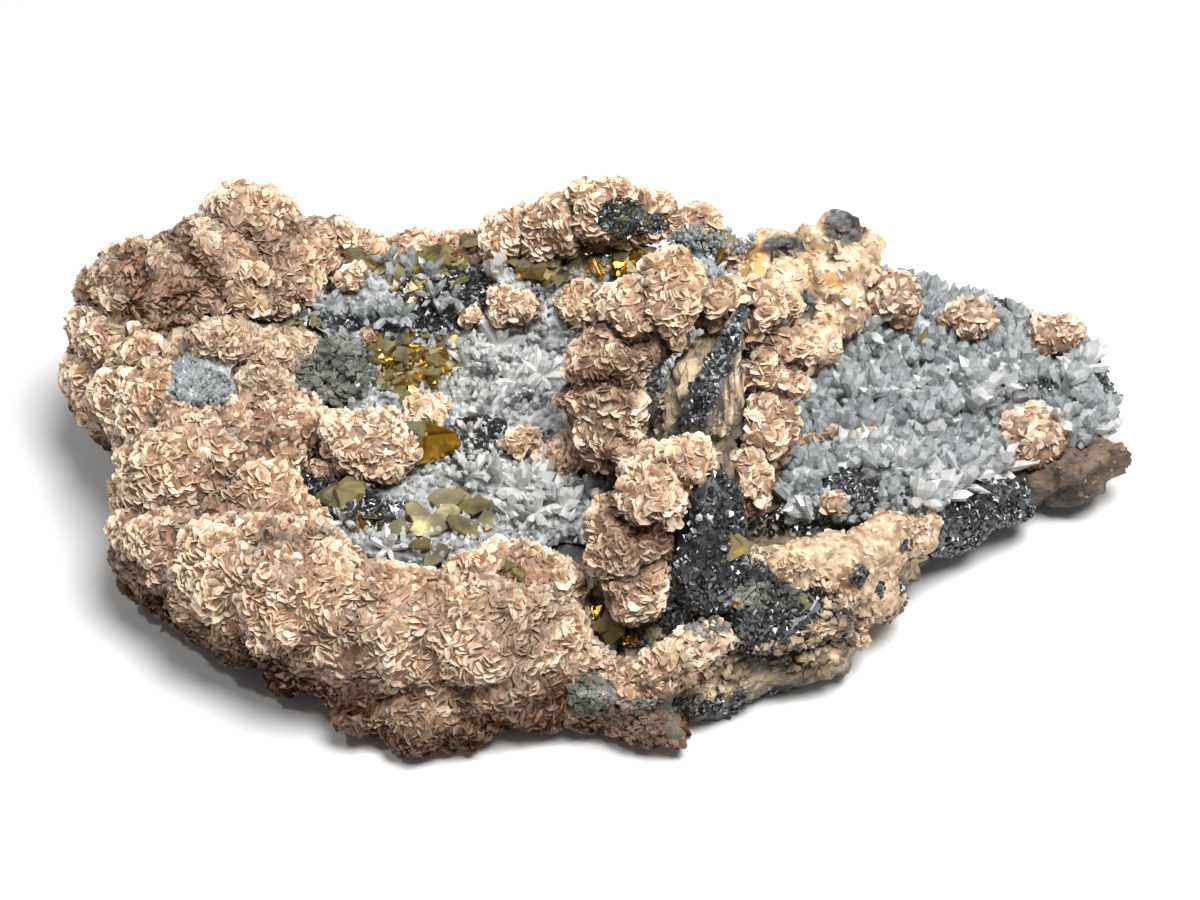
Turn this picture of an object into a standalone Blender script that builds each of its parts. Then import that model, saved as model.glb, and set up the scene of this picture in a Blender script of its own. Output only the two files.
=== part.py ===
"""Rhodochrosite specimen: pale pink rhodochrosite crusts, quartz druses, chalcopyrite and
sphalerite on one plate of sulphide matrix. Units are metres; +X right, +Y back, +Z up.
The plate rests on its flat cut underside at z = 0, and the origin is below the middle."""

import math
import random

import bmesh
import bpy
from mathutils import Matrix, Vector
from mathutils.bvhtree import BVHTree

MM = 0.001
GAP = 0.35 * MM  # clearance between neighbouring minerals
CLEAR_OF_FLOOR = 0.5 * MM  # the crusts stop this far above the cut base
WELD = 0.01 * MM  # points of one skin closer than this are one
LEAST_LEFT = 0.05  # a piece whose carrier takes more than the rest of its volume is misplaced
SEED = 11


# --- scene, materials and small helpers -------------------------------------------------


def clear_scene():
    for obj in list(bpy.data.objects):
        bpy.data.objects.remove(obj, do_unlink=True)


def new_collection(name):
    collection = bpy.data.collections.new(name)
    bpy.context.scene.collection.children.link(collection)
    return collection


def new_material(name, colour, roughness, metallic=0.0):
    material = bpy.data.materials.new(name)
    material.use_nodes = True
    shader = material.node_tree.nodes["Principled BSDF"]
    shader.inputs["Base Color"].default_value = (*colour, 1.0)
    shader.inputs["Roughness"].default_value = roughness
    shader.inputs["Metallic"].default_value = metallic
    material.diffuse_color = (*colour, 1.0)
    return material


def new_object(name, bm, collection):
    mesh = bpy.data.meshes.new(name)
    bm.to_mesh(mesh)
    bm.free()
    obj = bpy.data.objects.new(name, mesh)
    collection.objects.link(obj)
    return obj


def apply_modifiers(obj):
    """Replaces the object's mesh by its evaluated one, so that the next step starts from plain faces."""
    graph = bpy.context.evaluated_depsgraph_get()
    graph.update()
    mesh = bpy.data.meshes.new_from_object(obj.evaluated_get(graph))
    obj.modifiers.clear()
    old, obj.data = obj.data, mesh
    bpy.data.meshes.remove(old)


def face_groups(bm):
    """The connected groups of faces."""
    left = set(bm.faces)
    groups = []
    while left:
        group, edge_of = set(), [left.pop()]
        while edge_of:
            face = edge_of.pop()
            group.add(face)
            near = {other for edge in face.edges for other in edge.link_faces} & left
            left -= near
            edge_of.extend(near)
        groups.append(group)
    return groups


def keep_largest_body(obj, flat=0.3):
    """A cut can leave crumbs beside the piece. Only the largest body stays, facing out, with faces that
    meet at less than the flat angle joined in one."""
    bm = bmesh.new()
    bm.from_mesh(obj.data)
    bmesh.ops.remove_doubles(bm, verts=bm.verts, dist=WELD)
    groups = sorted(face_groups(bm), key=lambda group: sum(face.calc_area() for face in group))
    crumbs = [face for group in groups[:-1] for face in group]
    bmesh.ops.delete(bm, geom=crumbs, context="FACES")
    bmesh.ops.dissolve_limit(
        bm, angle_limit=math.radians(flat), verts=bm.verts, edges=bm.edges, delimit={"NORMAL"}
    )
    bmesh.ops.triangulate(bm, faces=bm.faces)
    bmesh.ops.recalc_face_normals(bm, faces=bm.faces)
    bm.to_mesh(obj.data)
    bm.free()


def volume_of(obj):
    """The mesh's volume, or 0 where it has an open or a shared edge."""
    bm = bmesh.new()
    bm.from_mesh(obj.data)
    closed = len(bm.faces) > 0 and all(len(edge.link_faces) == 2 for edge in bm.edges)
    volume = abs(bm.calc_volume()) if closed else 0.0
    bm.free()
    return volume


def boolean(obj, other, operation, solver="EXACT"):
    modifier = obj.modifiers.new(operation.title(), "BOOLEAN")
    modifier.operation = operation
    modifier.object = other
    modifier.solver = solver
    apply_modifiers(obj)
    keep_largest_body(obj)


def combine(obj, other, operation, least):
    """A Boolean that must leave a closed body with at least this share of its volume. Where the exact
    solver doesn't, the other one is tried."""
    before, start = obj.data.copy(), volume_of(obj)
    for solver in ("EXACT", "MANIFOLD"):
        boolean(obj, other, operation, solver)
        if volume_of(obj) > least * start:
            bpy.data.meshes.remove(before)
            return
        obj.data = before.copy()
    raise ValueError(f"{obj.name} and {other.name} don't combine")


# --- lumps: what every crust and the plate are fused from -------------------------------


def add_lump(bm, centre, radii, divisions=3):
    """One rounded lump: an icosphere with its own three radii, in mm."""
    size = Matrix.Diagonal((*[radius * MM for radius in radii], 1.0))
    place = Matrix.Translation(Vector(centre) * MM) @ size
    bmesh.ops.create_icosphere(bm, subdivisions=divisions, radius=1.0, matrix=place)


def along(points, step):
    """Points on a smooth curve through the given (x, y, z, radius) points, one every step radii."""
    points = [Vector(point) for point in points]
    ends = [2 * points[0] - points[1], *points, 2 * points[-1] - points[-2]]
    for first, start, end, last in zip(ends, ends[1:], ends[2:], ends[3:]):
        length = (end - start).xyz.length
        count = max(1, round(length / (step * (start.w + end.w) / 2)))
        for i in range(count):
            t = i / count
            yield 0.5 * (
                2 * start
                + (end - first) * t
                + (2 * first - 5 * start + 4 * end - last) * t**2
                + (3 * start - first - 3 * end + last) * t**3
            )
    yield points[-1]


def add_roll(bm, points, rng):
    """A botryoidal roll: lumps of uneven size that follow a curve of (x, y, z, radius), in mm."""
    step, wander = 0.75, 0.22  # both in lump radii
    for spot in along(points, step):
        radius = spot.w * rng.uniform(0.86, 1.08)
        shift = Vector([rng.uniform(-wander, wander) * spot.w for _ in range(3)])
        add_lump(bm, spot.xyz + shift, (radius, radius * rng.uniform(0.9, 1.05), radius))


def texture_of(kind, size):
    texture = bpy.data.textures.new(f"{kind.lower()} {size:g} mm", kind)
    texture.noise_scale = size * MM
    return texture


def fuse(obj, voxel, relief, grain, triangles):
    """Fuses overlapping lumps in one skin, roughens it, and cuts it down to its flat facets."""
    remesh = obj.modifiers.new("Fuse", "REMESH")
    remesh.mode = "VOXEL"
    remesh.voxel_size = voxel * MM
    rough = obj.modifiers.new("Relief", "DISPLACE")
    rough.texture = texture_of("CLOUDS", grain)
    rough.texture_coords = "LOCAL"
    rough.strength = relief * MM
    rough.mid_level = 0.5
    apply_modifiers(obj)
    keep_largest_body(obj)
    faces = sum(len(face.vertices) - 2 for face in obj.data.polygons)
    decimate = obj.modifiers.new("Facets", "DECIMATE")
    decimate.ratio = min(1.0, triangles / faces)
    decimate.use_collapse_triangulate = True
    even = obj.modifiers.new("No folds", "SMOOTH")
    even.factor = 0.3
    even.iterations = 1
    apply_modifiers(obj)
    keep_largest_body(obj)
    return obj


def hide(obj):
    obj.hide_render = True
    obj.display_type = "WIRE"


def grown_copy(obj, cutters):
    """A mineral grown by the gap, for cutting what sits on it. It is taken before the mineral itself is
    cut, while its skin is still whole."""
    bm = bmesh.new()
    bm.from_mesh(obj.data)
    bm.normal_update()
    shifts = [vert.normal * GAP * min(vert.calc_shell_factor(), 2.0) for vert in bm.verts]
    for vert, shift in zip(bm.verts, shifts):
        vert.co += shift
    grown = new_object(f"{obj.name} grown", bm, cutters)
    hide(grown)
    return grown


def below_floor(cutters, top):
    """A block that fills everything under z = top, for a flat cut."""
    bm = bmesh.new()
    side, depth = 400 * MM, 60 * MM
    place = Matrix.Translation((0, 0, top - depth / 2)) @ Matrix.Diagonal((side, side, depth, 1))
    bmesh.ops.create_cube(bm, size=1.0, matrix=place)
    block = new_object("below floor", bm, cutters)
    hide(block)
    return block


def overlap_boxes(a, b):
    low_a, high_a = bounds(a)
    low_b, high_b = bounds(b)
    return all(low_a[i] < high_b[i] and low_b[i] < high_a[i] for i in range(3))


def bounds(obj):
    points = [vertex.co for vertex in obj.data.vertices]
    return [min(p[i] for p in points) for i in range(3)], [max(p[i] for p in points) for i in range(3)]


def centre_on_origin(pieces):
    """Moves the whole specimen level, so that the middle of its bounding box stands over the origin."""
    lows, highs = zip(*[bounds(obj) for obj in pieces])
    middle = [(min(low[i] for low in lows) + max(high[i] for high in highs)) / 2 for i in (0, 1)]
    print(f"centred: moved by {-middle[0] / MM:.2f}, {-middle[1] / MM:.2f} mm")
    for obj in pieces:
        obj.data.transform(Matrix.Translation((-middle[0], -middle[1], 0)))


def seat(obj, grown_carriers):
    """Cuts away whatever the carriers and their gap already hold."""
    for carrier in grown_carriers:
        if overlap_boxes(obj, carrier):
            combine(obj, carrier, "DIFFERENCE", LEAST_LEFT)
    return obj


def tree_of(obj):
    bm = bmesh.new()
    bm.from_mesh(obj.data)
    tree = BVHTree.FromBMesh(bm)
    bm.free()
    return tree


# --- driving dimensions, in mm ----------------------------------------------------------

# Ellipsoids of the sulphide and quartz host plate: x, y, z, then the three radii.
PLATE = (
    (-53, 8, 9, 29, 30, 13),
    (-63, 21, 16, 22, 19, 16),
    (-50, 35, 16, 26, 10, 14),
    (-24, 41, 13, 34, 9, 13),
    (6, 42, 14, 26, 7, 15),
    (-26, 12, 4, 42, 38, 12),
    (-26, -24, 6, 34, 16, 10),
    (8, -8, 4, 34, 34, 12),
    (34, 12, 7, 31, 28, 12),
    (34, 35, 16, 16, 10, 14),
    (52, 39, 11, 14, 9, 9),
    (66, 35, 10, 15, 8, 9),
    (60, 26, 6, 27, 19, 10),
    (77, 25, 7, 15, 14, 8),
    (40, -6, 8, 18, 15, 10),
    (27, -31, 6, 17, 9, 8),
    (13, -38, 5, 13, 8, 8),
)
# The broken fin that stands up in the middle and carries the ridge.
FIN = (
    (12, -24, 15, 9, 11, 12),
    (15, -12, 22, 8, 11, 14),
    (17, -2, 26, 8, 12, 14),
    (19, 5, 32, 6, 7, 11),
)

# Rolls of rhodochrosite: each is a curve of x, y, z and the radius of its lumps.
RIM_ROLLS = (
    ((-52, 38, 30, 7), (-60, 39.5, 33, 10), (-70, 36, 32, 11), (-79, 33, 26, 10.5)),
    ((-52, 31, 27, 6), (-62, 27, 29, 9), (-72, 25, 27, 11), (-79, 25, 24, 10)),
    ((-84, 22, 18, 9), (-82, 17, 17, 8), (-74, 10, 21, 10)),
    ((-74, 8, 21, 10), (-66, -6, 22, 11), (-58, -12, 18, 9), (-49, -15, 15, 6)),
    ((-50, 18, 22, 5), (-57, 10, 23, 7), (-50, 3, 21, 6.5), (-60, -2, 20, 8)),
    ((-71, -15, 14, 9), (-62, -24, 17, 12), (-50, -32, 16, 12), (-38, -37, 14.5, 11), (-28, -38, 14, 10.5)),
    ((-28, -38, 14, 10.5), (-18, -37, 14, 10.5), (-11, -36, 14, 9.5), (-7, -37, 12, 7)),
    ((-49, -27, 17, 6), (-43, -31, 18, 6), (-38, -31, 17, 6)),
    ((-25, -31, 16, 6), (-18, -29, 17, 6.5), (-10, -27.5, 17, 6), (-6, -30, 15, 5)),
    ((-74, -16, 9, 6), (-64, -23, 9, 7), (-56, -28.5, 8, 7), (-47, -34, 8, 7), (-38, -39, 7, 7)),
    ((-38, -43, 5, 5.5), (-31, -46, 6, 5.5), (-24, -46, 6, 6), (-17, -43, 7, 6)),
    ((-16, -41, 9, 7), (-8, -41, 8, 7), (0, -43, 6, 5.5)),
    ((-52, 40, 29, 7), (-42, 45, 26, 5), (-30, 46, 25, 4.5), (-18, 45, 27, 5), (-10, 45, 30, 6.5)),
    ((-10, 45, 30, 6.5), (-1, 44, 35, 6.5), (7, 45, 33, 5), (14, 44, 33, 5), (23, 43, 28, 4)),
)
RIDGE_ROLLS = (
    ((5, -34.5, 20.5, 4.5), (3, -31.5, 23.5, 6.5), (5, -27.5, 28, 7.5), (10, -22, 32, 6.5), (15, -17, 33, 5)),
    ((4, -8, 25, 5), (1, -3, 31, 6.5), (0, 3, 37, 6.5), (5, 7, 42, 6.5), (12, 10, 45, 6.5)),
    ((12, 10, 45, 6.5), (20, 10, 44, 6), (27, 9, 39, 6.5), (28, 2, 33, 6), (26, -4, 28, 6)),
    ((26, -4, 28, 6), (24, -11, 25, 5.5), (22, -16, 23, 5)),
    ((8, -27, 21, 6), (11, -20, 24, 7), (12, -12, 26, 6)),
)
BACK_KNOT_ROLLS = (
    ((27, 33, 29, 6), (33, 31, 31, 6), (40, 36, 33, 7), (44, 37, 30, 6)),
    ((33, 30, 28, 6), (38, 27, 26, 6), (36, 21, 24, 5)),
)
FRONT_BAND_ROLLS = (
    ((22, -27, 16, 4.5), (30, -26, 17, 5), (40, -23, 16, 5), (50, -15, 14, 5), (53, -12, 13, 4)),
    ((34, -28, 12, 4.5), (42, -26, 10, 4.5), (46, -22, 9, 4)),
)
POCKET_LIP_ROLLS = (
    ((2, -44, 9, 5), (8, -44, 11, 4), (15, -40, 13, 4), (22, -36, 15, 3.5)),
    ((3, -45, 5, 4), (8, -48, 4.5, 4), (12, -48, 4, 3.5)),
)
RIGHT_FOOT_ROLLS = (((74, 6, 7, 4), (80, 7, 7, 5), (87, 9, 8, 4.5)),)
BED_CRUST_ROLLS = (((31, 0, 19.5, 2.5), (38, 2, 20, 3), (46, 3, 19.5, 3)),)

# How each crust is fused: its rolls, voxel size, height and width of the relief, and triangle count.
CRUSTS = {
    "rhodochrosite_rim": (RIM_ROLLS, 1.5, 3.0, 5.0, 1000),
    "rhodochrosite_ridge": (RIDGE_ROLLS, 1.2, 2.6, 4.0, 460),
    "rhodochrosite_back_knot": (BACK_KNOT_ROLLS, 1.0, 2.0, 4.0, 160),
    "rhodochrosite_front_band": (FRONT_BAND_ROLLS, 1.0, 1.8, 4.0, 170),
    "rhodochrosite_pocket_lip": (POCKET_LIP_ROLLS, 1.0, 1.6, 4.0, 100),
    "rhodochrosite_right_foot": (RIGHT_FOOT_ROLLS, 1.0, 1.6, 4.0, 70),
    "rhodochrosite_bed_crust": (BED_CRUST_ROLLS, 0.8, 1.0, 3.0, 50),
}

# Rhodochrosite nodules that sit on the druses: x, y and the nodule's radius.
NODULES = {
    "rhodochrosite_nodule_cavity_large": (-38, -2, 9.0),
    "rhodochrosite_nodule_cavity_middle": (-29, 9, 4.5),
    "rhodochrosite_nodule_cavity_back": (-43, 32, 3.5),
    "rhodochrosite_nodule_cavity_small": (-23, 32, 3.0),
    "rhodochrosite_nodule_back_left": (-15, 33, 5.5),
    "rhodochrosite_nodule_back_right": (-4, 34, 5.5),
    "rhodochrosite_nodule_floor_left": (-13, 4, 4.0),
    "rhodochrosite_nodule_floor_right": (-6, -1, 5.5),
    "rhodochrosite_nodule_bed_back": (51, 33, 6.5),
    "rhodochrosite_nodule_bed_middle": (65, 32, 5.0),
    "rhodochrosite_nodule_bed_edge": (79, 31, 5.5),
    "rhodochrosite_nodule_bed_right": (74, 11, 7.0),
    "rhodochrosite_nodule_bed_front": (38, -12, 3.0),
}

# Druses: crusts of quartz that follow the plate, each as its triangle count and its discs of x, y
# and radius.
DRUSES = {
    "quartz_floor": (380, (
        (-36, 26, 14), (-22, 28, 15), (-6, 30, 13), (8, 32, 11), (20, 32, 9), (-30, 10, 13),
        (-14, 12, 14), (0, 14, 12), (-24, -4, 12), (-8, -6, 11), (-34, -12, 10), (4, -2, 8),
        (-20, -14, 9),
    )),
    "quartz_bed": (360, (
        (36, 12, 11), (36, 2, 11), (48, -2, 10), (50, 14, 14), (50, 30, 13), (62, 32, 12),
        (64, 18, 14), (60, 6, 10), (76, 24, 13), (76, 14, 9), (84, 20, 8), (36, -9, 6),
        (46, 42, 7), (56, 42, 8), (66, 38, 8), (76, 33, 7),
    )),
    "quartz_window": (36, ((-66, 14, 5),)),
}
DRUSE_STEP = 5.0  # between neighbouring lumps of a druse
DRUSE_LUMP = 4.6  # their radius
DRUSE_SINK = 1.4  # how far their centres lie below the plate's surface
POINT_ROOT = 1.2  # how deep a quartz point is rooted in its druse

# Sphalerite masses, as rolls of x, y, z and radius.
SPHALERITE = {
    "sphalerite_spine": (
        ((22, 5, 44, 3.5), (21, -2, 40, 4.5), (18, -9, 37, 5), (16, -13, 33, 4)),
    ),
    "sphalerite_flank": (
        ((15, -21, 32, 5), (17, -27, 27, 6), (18, -31, 21, 6), (25, -29, 16, 5)),
    ),
    "sphalerite_ledge": (((25, -35, 15, 4.5), (31, -34, 14, 4.5), (37, -32, 12, 4)),),
    "sphalerite_cap_back": (((41, 38, 38, 4), (43, 37, 34, 4)),),
    "sphalerite_cap_front": (((29.5, 38.5, 33, 3.6), (34.5, 37.5, 33.5, 3.6)),),
    "sphalerite_border": (((47, -13, 12, 4), (54, -8, 11, 5), (63, -3, 9, 5), (70, 2, 8, 4)),),
}

# Chalcopyrite clusters: x, y, how far they spread, crystal size and count.
CHALCOPYRITE = {
    "chalcopyrite_gold_cluster": (-33, 20, 6.5, 4.8, 7),
    "chalcopyrite_back_left_cluster": (-42, 36, 4.0, 4.5, 3),
    "chalcopyrite_back_wall_cluster": (-29, 38, 7.0, 4.8, 5),
    "chalcopyrite_large_crystal": (-29, 2, 2.0, 5.8, 2),
    "chalcopyrite_front_plates": (-26, -10, 5.5, 4.8, 5),
    "chalcopyrite_back_band_left": (-10, 40, 5.5, 4.6, 4),
    "chalcopyrite_back_band_right": (6, 40, 6.0, 4.6, 4),
    "chalcopyrite_pocket_cluster": (2, -33, 5.0, 5.0, 4),
}

# Quartz points that stand clear of the druse: x, y, how many, length.
SPRAYS = (
    (-18, 24, 4, 7.5), (-9, 17, 3, 6.5), (-17, 14, 2, 6.0), (-22, 10, 2, 5.5), (-10, -10, 3, 7.0),
    (-2, -8, 2, 6.5), (-20, -5, 2, 6.0), (-38, -14, 2, 5.0), (69, 2, 3, 8.5), (60, -1, 3, 8.0),
    (48, -3, 3, 7.5), (36, 1, 2, 6.5), (56, 10, 3, 7.0), (44, 12, 2, 6.5), (66, 16, 3, 7.0),
    (84, 20, 2, 6.0), (50, 22, 2, 6.5), (60, 27, 2, 6.0), (84, 12, 1, 6.0), (76, 20, 2, 6.0),
)

COLOURS = {
    "matrix": ((0.42, 0.38, 0.31), 0.75, 0.0),
    "rhodochrosite": ((0.68, 0.43, 0.31), 0.45, 0.0),
    "quartz": ((0.62, 0.65, 0.65), 0.15, 0.0),
    "chalcopyrite": ((0.42, 0.32, 0.10), 0.35, 0.9),
    "sphalerite": ((0.06, 0.065, 0.075), 0.3, 0.4),
}


# --- the pieces -------------------------------------------------------------------------


def rolls_piece(name, collection, rolls, voxel, relief, grain, triangles):
    rng = random.Random(f"{SEED} {name}")
    bm = bmesh.new()
    for points in rolls:
        add_roll(bm, points, rng)
    return fuse(new_object(name, bm, collection), voxel, relief, grain, triangles)


def host_plate(collection, cutters):
    bm = bmesh.new()
    for x, y, z, *radii in PLATE + FIN:
        add_lump(bm, (x, y, z), radii)
    plate = fuse(new_object("matrix", bm, collection), 1.6, 3.0, 8.0, 820)
    boolean(plate, below_floor(cutters, 0.0), "DIFFERENCE")
    return plate


def ground(trees, spot, along=Vector((0, 0, -1))):
    """Where a line through the spot first meets one of the surfaces, in mm, and the normal there."""
    start = (spot - along * 100) * MM
    hits = [tree.ray_cast(start, along) for tree in trees]
    hits = [hit for hit in hits if hit[0]]
    if not hits:
        return None, None
    point, normal, _, _ = min(hits, key=lambda hit: hit[3])
    return point / MM, normal


def druse(name, discs, plate_tree, collection, triangles):
    """A crust that follows the plate: lumps on a hexagonal grid, each sunk in the plate's surface."""
    rng = random.Random(f"{SEED} {name}")
    spots = set()
    for x, y, radius in discs:
        reach = math.ceil(radius / DRUSE_STEP) + 1
        column0, row0 = round(x / DRUSE_STEP), round(y / DRUSE_STEP)
        for column in range(column0 - reach, column0 + reach + 1):
            for row in range(row0 - reach, row0 + reach + 1):
                spot = ((column + 0.5 * (row % 2)) * DRUSE_STEP, row * DRUSE_STEP)
                if math.dist(spot, (x, y)) <= radius:
                    spots.add(spot)
    bm = bmesh.new()
    for x, y in sorted(spots):
        top, _ = ground([plate_tree], Vector((x, y, 0)))
        if top is None:
            continue
        radius = DRUSE_LUMP * rng.uniform(0.9, 1.1)
        add_lump(bm, (x, y, top.z - DRUSE_SINK + rng.uniform(-0.6, 0.6)), (radius,) * 3, divisions=2)
    return fuse(new_object(name, bm, collection), 1.2, 1.6, 5.0, triangles)


def point_of(radius, length):
    """One quartz crystal: a six-sided prism with a six-sided point, standing on z = 0."""
    bm = bmesh.new()
    bmesh.ops.create_cone(
        bm, cap_ends=True, segments=6, radius1=radius * 0.9, radius2=radius, depth=length * 0.7,
        matrix=Matrix.Translation((0, 0, length * 0.35)),
    )
    top = max(bm.faces, key=lambda face: face.calc_center_median().z)
    bmesh.ops.poke(bm, faces=[top], offset=length * 0.3)
    return bm


def blunt_sphenoid(radius):
    """One chalcopyrite crystal: a flat three-sided wedge with blunt corners."""
    bm = bmesh.new()
    bmesh.ops.create_cone(
        bm, cap_ends=True, segments=3, radius1=radius, radius2=radius * 0.55, depth=radius * 0.55
    )
    return bm


def facing(direction, spin):
    return direction.to_track_quat("Z", "Y").to_matrix().to_4x4() @ Matrix.Rotation(spin, 4, "Z")


def grow_on(obj, shapes, trees, cutters):
    """Joins crystals one by one to the crust that they grow from, leaving out any that meets a neighbour."""
    for i, shape in enumerate(shapes):
        crystal_tree = BVHTree.FromBMesh(shape)
        if any(crystal_tree.overlap(tree) for tree in trees):
            shape.free()
            continue
        crystal = new_object(f"{obj.name} crystal {i}", shape, cutters)
        hide(crystal)
        combine(obj, crystal, "UNION", 0.98)


def grow_quartz(druse_obj, neighbours, cutters):
    rng = random.Random(f"{SEED} points {druse_obj.name}")
    tree = tree_of(druse_obj)
    crystals = []
    for x, y, count, length in SPRAYS:
        for i in range(count):
            angle = 2 * math.pi * i / count + rng.uniform(-0.4, 0.4)
            reach = rng.uniform(1.0, 3.0)
            spot = Vector((x + reach * math.cos(angle), y + reach * math.sin(angle), 0))
            root, normal = ground([tree], spot)
            if root is None:
                continue
            lean = Vector((math.cos(angle), math.sin(angle), 0)) * rng.uniform(0.25, 0.8)
            direction = (normal + Vector((0, 0, 0.6)) + lean).normalized()
            size = length * rng.uniform(0.8, 1.1)
            place = Matrix.Translation((root - direction * POINT_ROOT) * MM)
            shape = point_of(size * rng.uniform(0.19, 0.25) * MM, size * MM)
            shape.transform(place @ facing(direction, rng.uniform(0, 1)))
            crystals.append(shape)
    grow_on(druse_obj, crystals, neighbours, cutters)


def chalcopyrite_cluster(name, spec, trees, collection, cutters):
    x, y, spread, size, count = spec
    rng = random.Random(f"{SEED} {name}")
    foot, out = ground(trees, Vector((x, y, 0)))
    out = (out + Vector((0, -0.3, 0.5))).normalized()
    frame = facing(out, 0)
    bm = bmesh.new()
    radii = Matrix.Diagonal((spread * 0.85, spread * 0.85, 2.4, 1 / MM)) * MM
    bmesh.ops.create_icosphere(
        bm, subdivisions=1, radius=1.0, matrix=Matrix.Translation(foot * MM) @ frame @ radii
    )
    cluster = new_object(name, bm, collection)
    crystals = []
    for i in range(count):
        angle = 2.4 * i
        reach = spread * math.sqrt((i + 0.3) / count)
        aside = frame @ Vector((reach * math.cos(angle), reach * math.sin(angle), 0))
        spot, _ = ground(trees, foot + aside, -out)
        if spot is None or (spot - foot).length > 1.6 * spread:
            continue
        tilt = out + Vector((rng.uniform(-0.8, 0.8), rng.uniform(-0.8, 0.4), rng.uniform(-0.2, 0.5)))
        place = Matrix.Translation((spot + out * size * 0.2) * MM)
        shape = blunt_sphenoid(size * rng.uniform(0.75, 1.1) * MM)
        shape.transform(place @ facing(tilt.normalized(), rng.uniform(0, 6)))
        crystals.append(shape)
    grow_on(cluster, crystals, [], cutters)
    return cluster


def nodule(name, spec, trees, collection):
    x, y, radius = spec
    rng = random.Random(f"{SEED} {name}")
    foot, _ = ground(trees, Vector((x, y, 0)))
    z = foot.z + radius * 0.25
    bm = bmesh.new()
    add_lump(bm, (x, y, z), (radius * 0.8,) * 3, divisions=2)
    for i in range(6):
        angle = math.pi * i / 3 + rng.uniform(-0.4, 0.4)
        reach = radius * rng.uniform(0.35, 0.6)
        size = radius * rng.uniform(0.4, 0.6)
        rise = radius * rng.uniform(-0.2, 0.5)
        centre = (x + reach * math.cos(angle), y + reach * math.sin(angle), z + rise)
        add_lump(bm, centre, (size,) * 3, divisions=2)
    triangles = int(30 + 7 * radius)
    return fuse(new_object(name, bm, collection), 0.8, 1.0, 2.5, triangles)


def build():
    clear_scene()
    specimen = new_collection("Rhodochrosite specimen")
    cutters = new_collection("Cutters")
    cutters.hide_render = True

    plate = host_plate(specimen, cutters)
    plate_tree = tree_of(plate)
    druses = [
        druse(name, discs, plate_tree, specimen, triangles)
        for name, (triangles, discs) in DRUSES.items()
    ]
    masses = [
        rolls_piece(name, specimen, rolls, 0.9, 2.0, 2.5, 84) for name, rolls in SPHALERITE.items()
    ]
    crusts = [rolls_piece(name, specimen, *spec) for name, spec in CRUSTS.items()]
    floor_block = below_floor(cutters, CLEAR_OF_FLOOR)

    # Each mineral is cut by the ones before it, so that every pair keeps the gap.
    grown = [grown_copy(plate, cutters)]
    for obj in (*druses, *masses, *crusts):
        if overlap_boxes(obj, floor_block):
            boolean(obj, floor_block, "DIFFERENCE")
        whole = grown_copy(obj, cutters)
        seat(obj, grown)
        grown.append(whole)
    base_trees = [tree_of(obj) for obj in (plate, *druses)]
    nodules = [nodule(name, spec, base_trees, specimen) for name, spec in NODULES.items()]
    for obj in nodules:
        whole = grown_copy(obj, cutters)
        seat(obj, grown)
        grown.append(whole)
    clusters = [
        chalcopyrite_cluster(name, spec, base_trees, specimen, cutters)
        for name, spec in CHALCOPYRITE.items()
    ]
    for obj in clusters:
        seat(obj, grown)
    for obj in druses:
        others = [cutter for cutter in grown if not cutter.name.startswith(obj.name)]
        neighbours = [tree_of(other) for other in (*others, *clusters)]
        grow_quartz(obj, neighbours, cutters)

    pieces = [plate, *druses, *crusts, *masses, *clusters, *nodules]
    centre_on_origin(pieces)
    for obj in pieces:
        kind = obj.name.split("_")[0]
        obj.data.materials.clear()
        material = bpy.data.materials.get(kind) or new_material(kind, *COLOURS[kind])
        obj.data.materials.append(material)
        keep_largest_body(obj, 1.5)
        print(f"{obj.name}: {len(obj.data.polygons)} triangles")


build()
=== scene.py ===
import random
from functools import partial
from math import cos, pi, radians, sin, sqrt, tau

import bmesh
import bpy
import numpy as np
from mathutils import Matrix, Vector, noise
from mathutils.bvhtree import BVHTree


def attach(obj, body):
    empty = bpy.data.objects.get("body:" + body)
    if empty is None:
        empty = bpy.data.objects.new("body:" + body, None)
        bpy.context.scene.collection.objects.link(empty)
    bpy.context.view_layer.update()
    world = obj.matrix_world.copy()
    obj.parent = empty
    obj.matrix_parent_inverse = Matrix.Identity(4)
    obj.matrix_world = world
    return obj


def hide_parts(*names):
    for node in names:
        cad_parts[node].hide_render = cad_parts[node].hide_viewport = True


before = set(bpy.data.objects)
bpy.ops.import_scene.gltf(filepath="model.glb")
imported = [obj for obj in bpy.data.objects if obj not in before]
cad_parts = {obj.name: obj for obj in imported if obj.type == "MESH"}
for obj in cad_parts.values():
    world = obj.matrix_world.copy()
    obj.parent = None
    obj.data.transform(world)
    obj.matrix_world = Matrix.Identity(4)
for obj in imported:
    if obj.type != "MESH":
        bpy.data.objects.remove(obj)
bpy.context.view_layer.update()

mm = 0.001
viewSize = (1200, 900)   # what the places in the front view below are counted in
clearOfTable = 0.8       # mm, nothing loose grows below this


# The camera, the light and the floor.
stage = {
    "target": (0.24, 0.50, 20.0),  # mm
    "elevation": 42.0,  # degrees above the table
    "distance": 450.0,  # mm
    "lens": 81.0,
    "sensor": 36.0,
    "floorRadius": 2400.0,  # mm
    "skyStrength": 0.16,
    "softboxPower": 6.2,  # W
    "softboxSize": 380.0,  # mm
    "softboxPlace": (150.0, -90.0, 590.0),
    "sparkPower": 0.6,
    "sparkSize": 40.0,
    "sparkPlace": (-260.0, -140.0, 560.0),
}


# Colours are typed as sRGB hex and handed to the shaders as linear light.
def linear(hexColour):
    channels = [int(hexColour[i:i + 2], 16) / 255 for i in (1, 3, 5)]
    return (*[c / 12.92 if c <= 0.04045 else ((c + 0.055) / 1.055) ** 2.4 for c in channels], 1.0)


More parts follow.
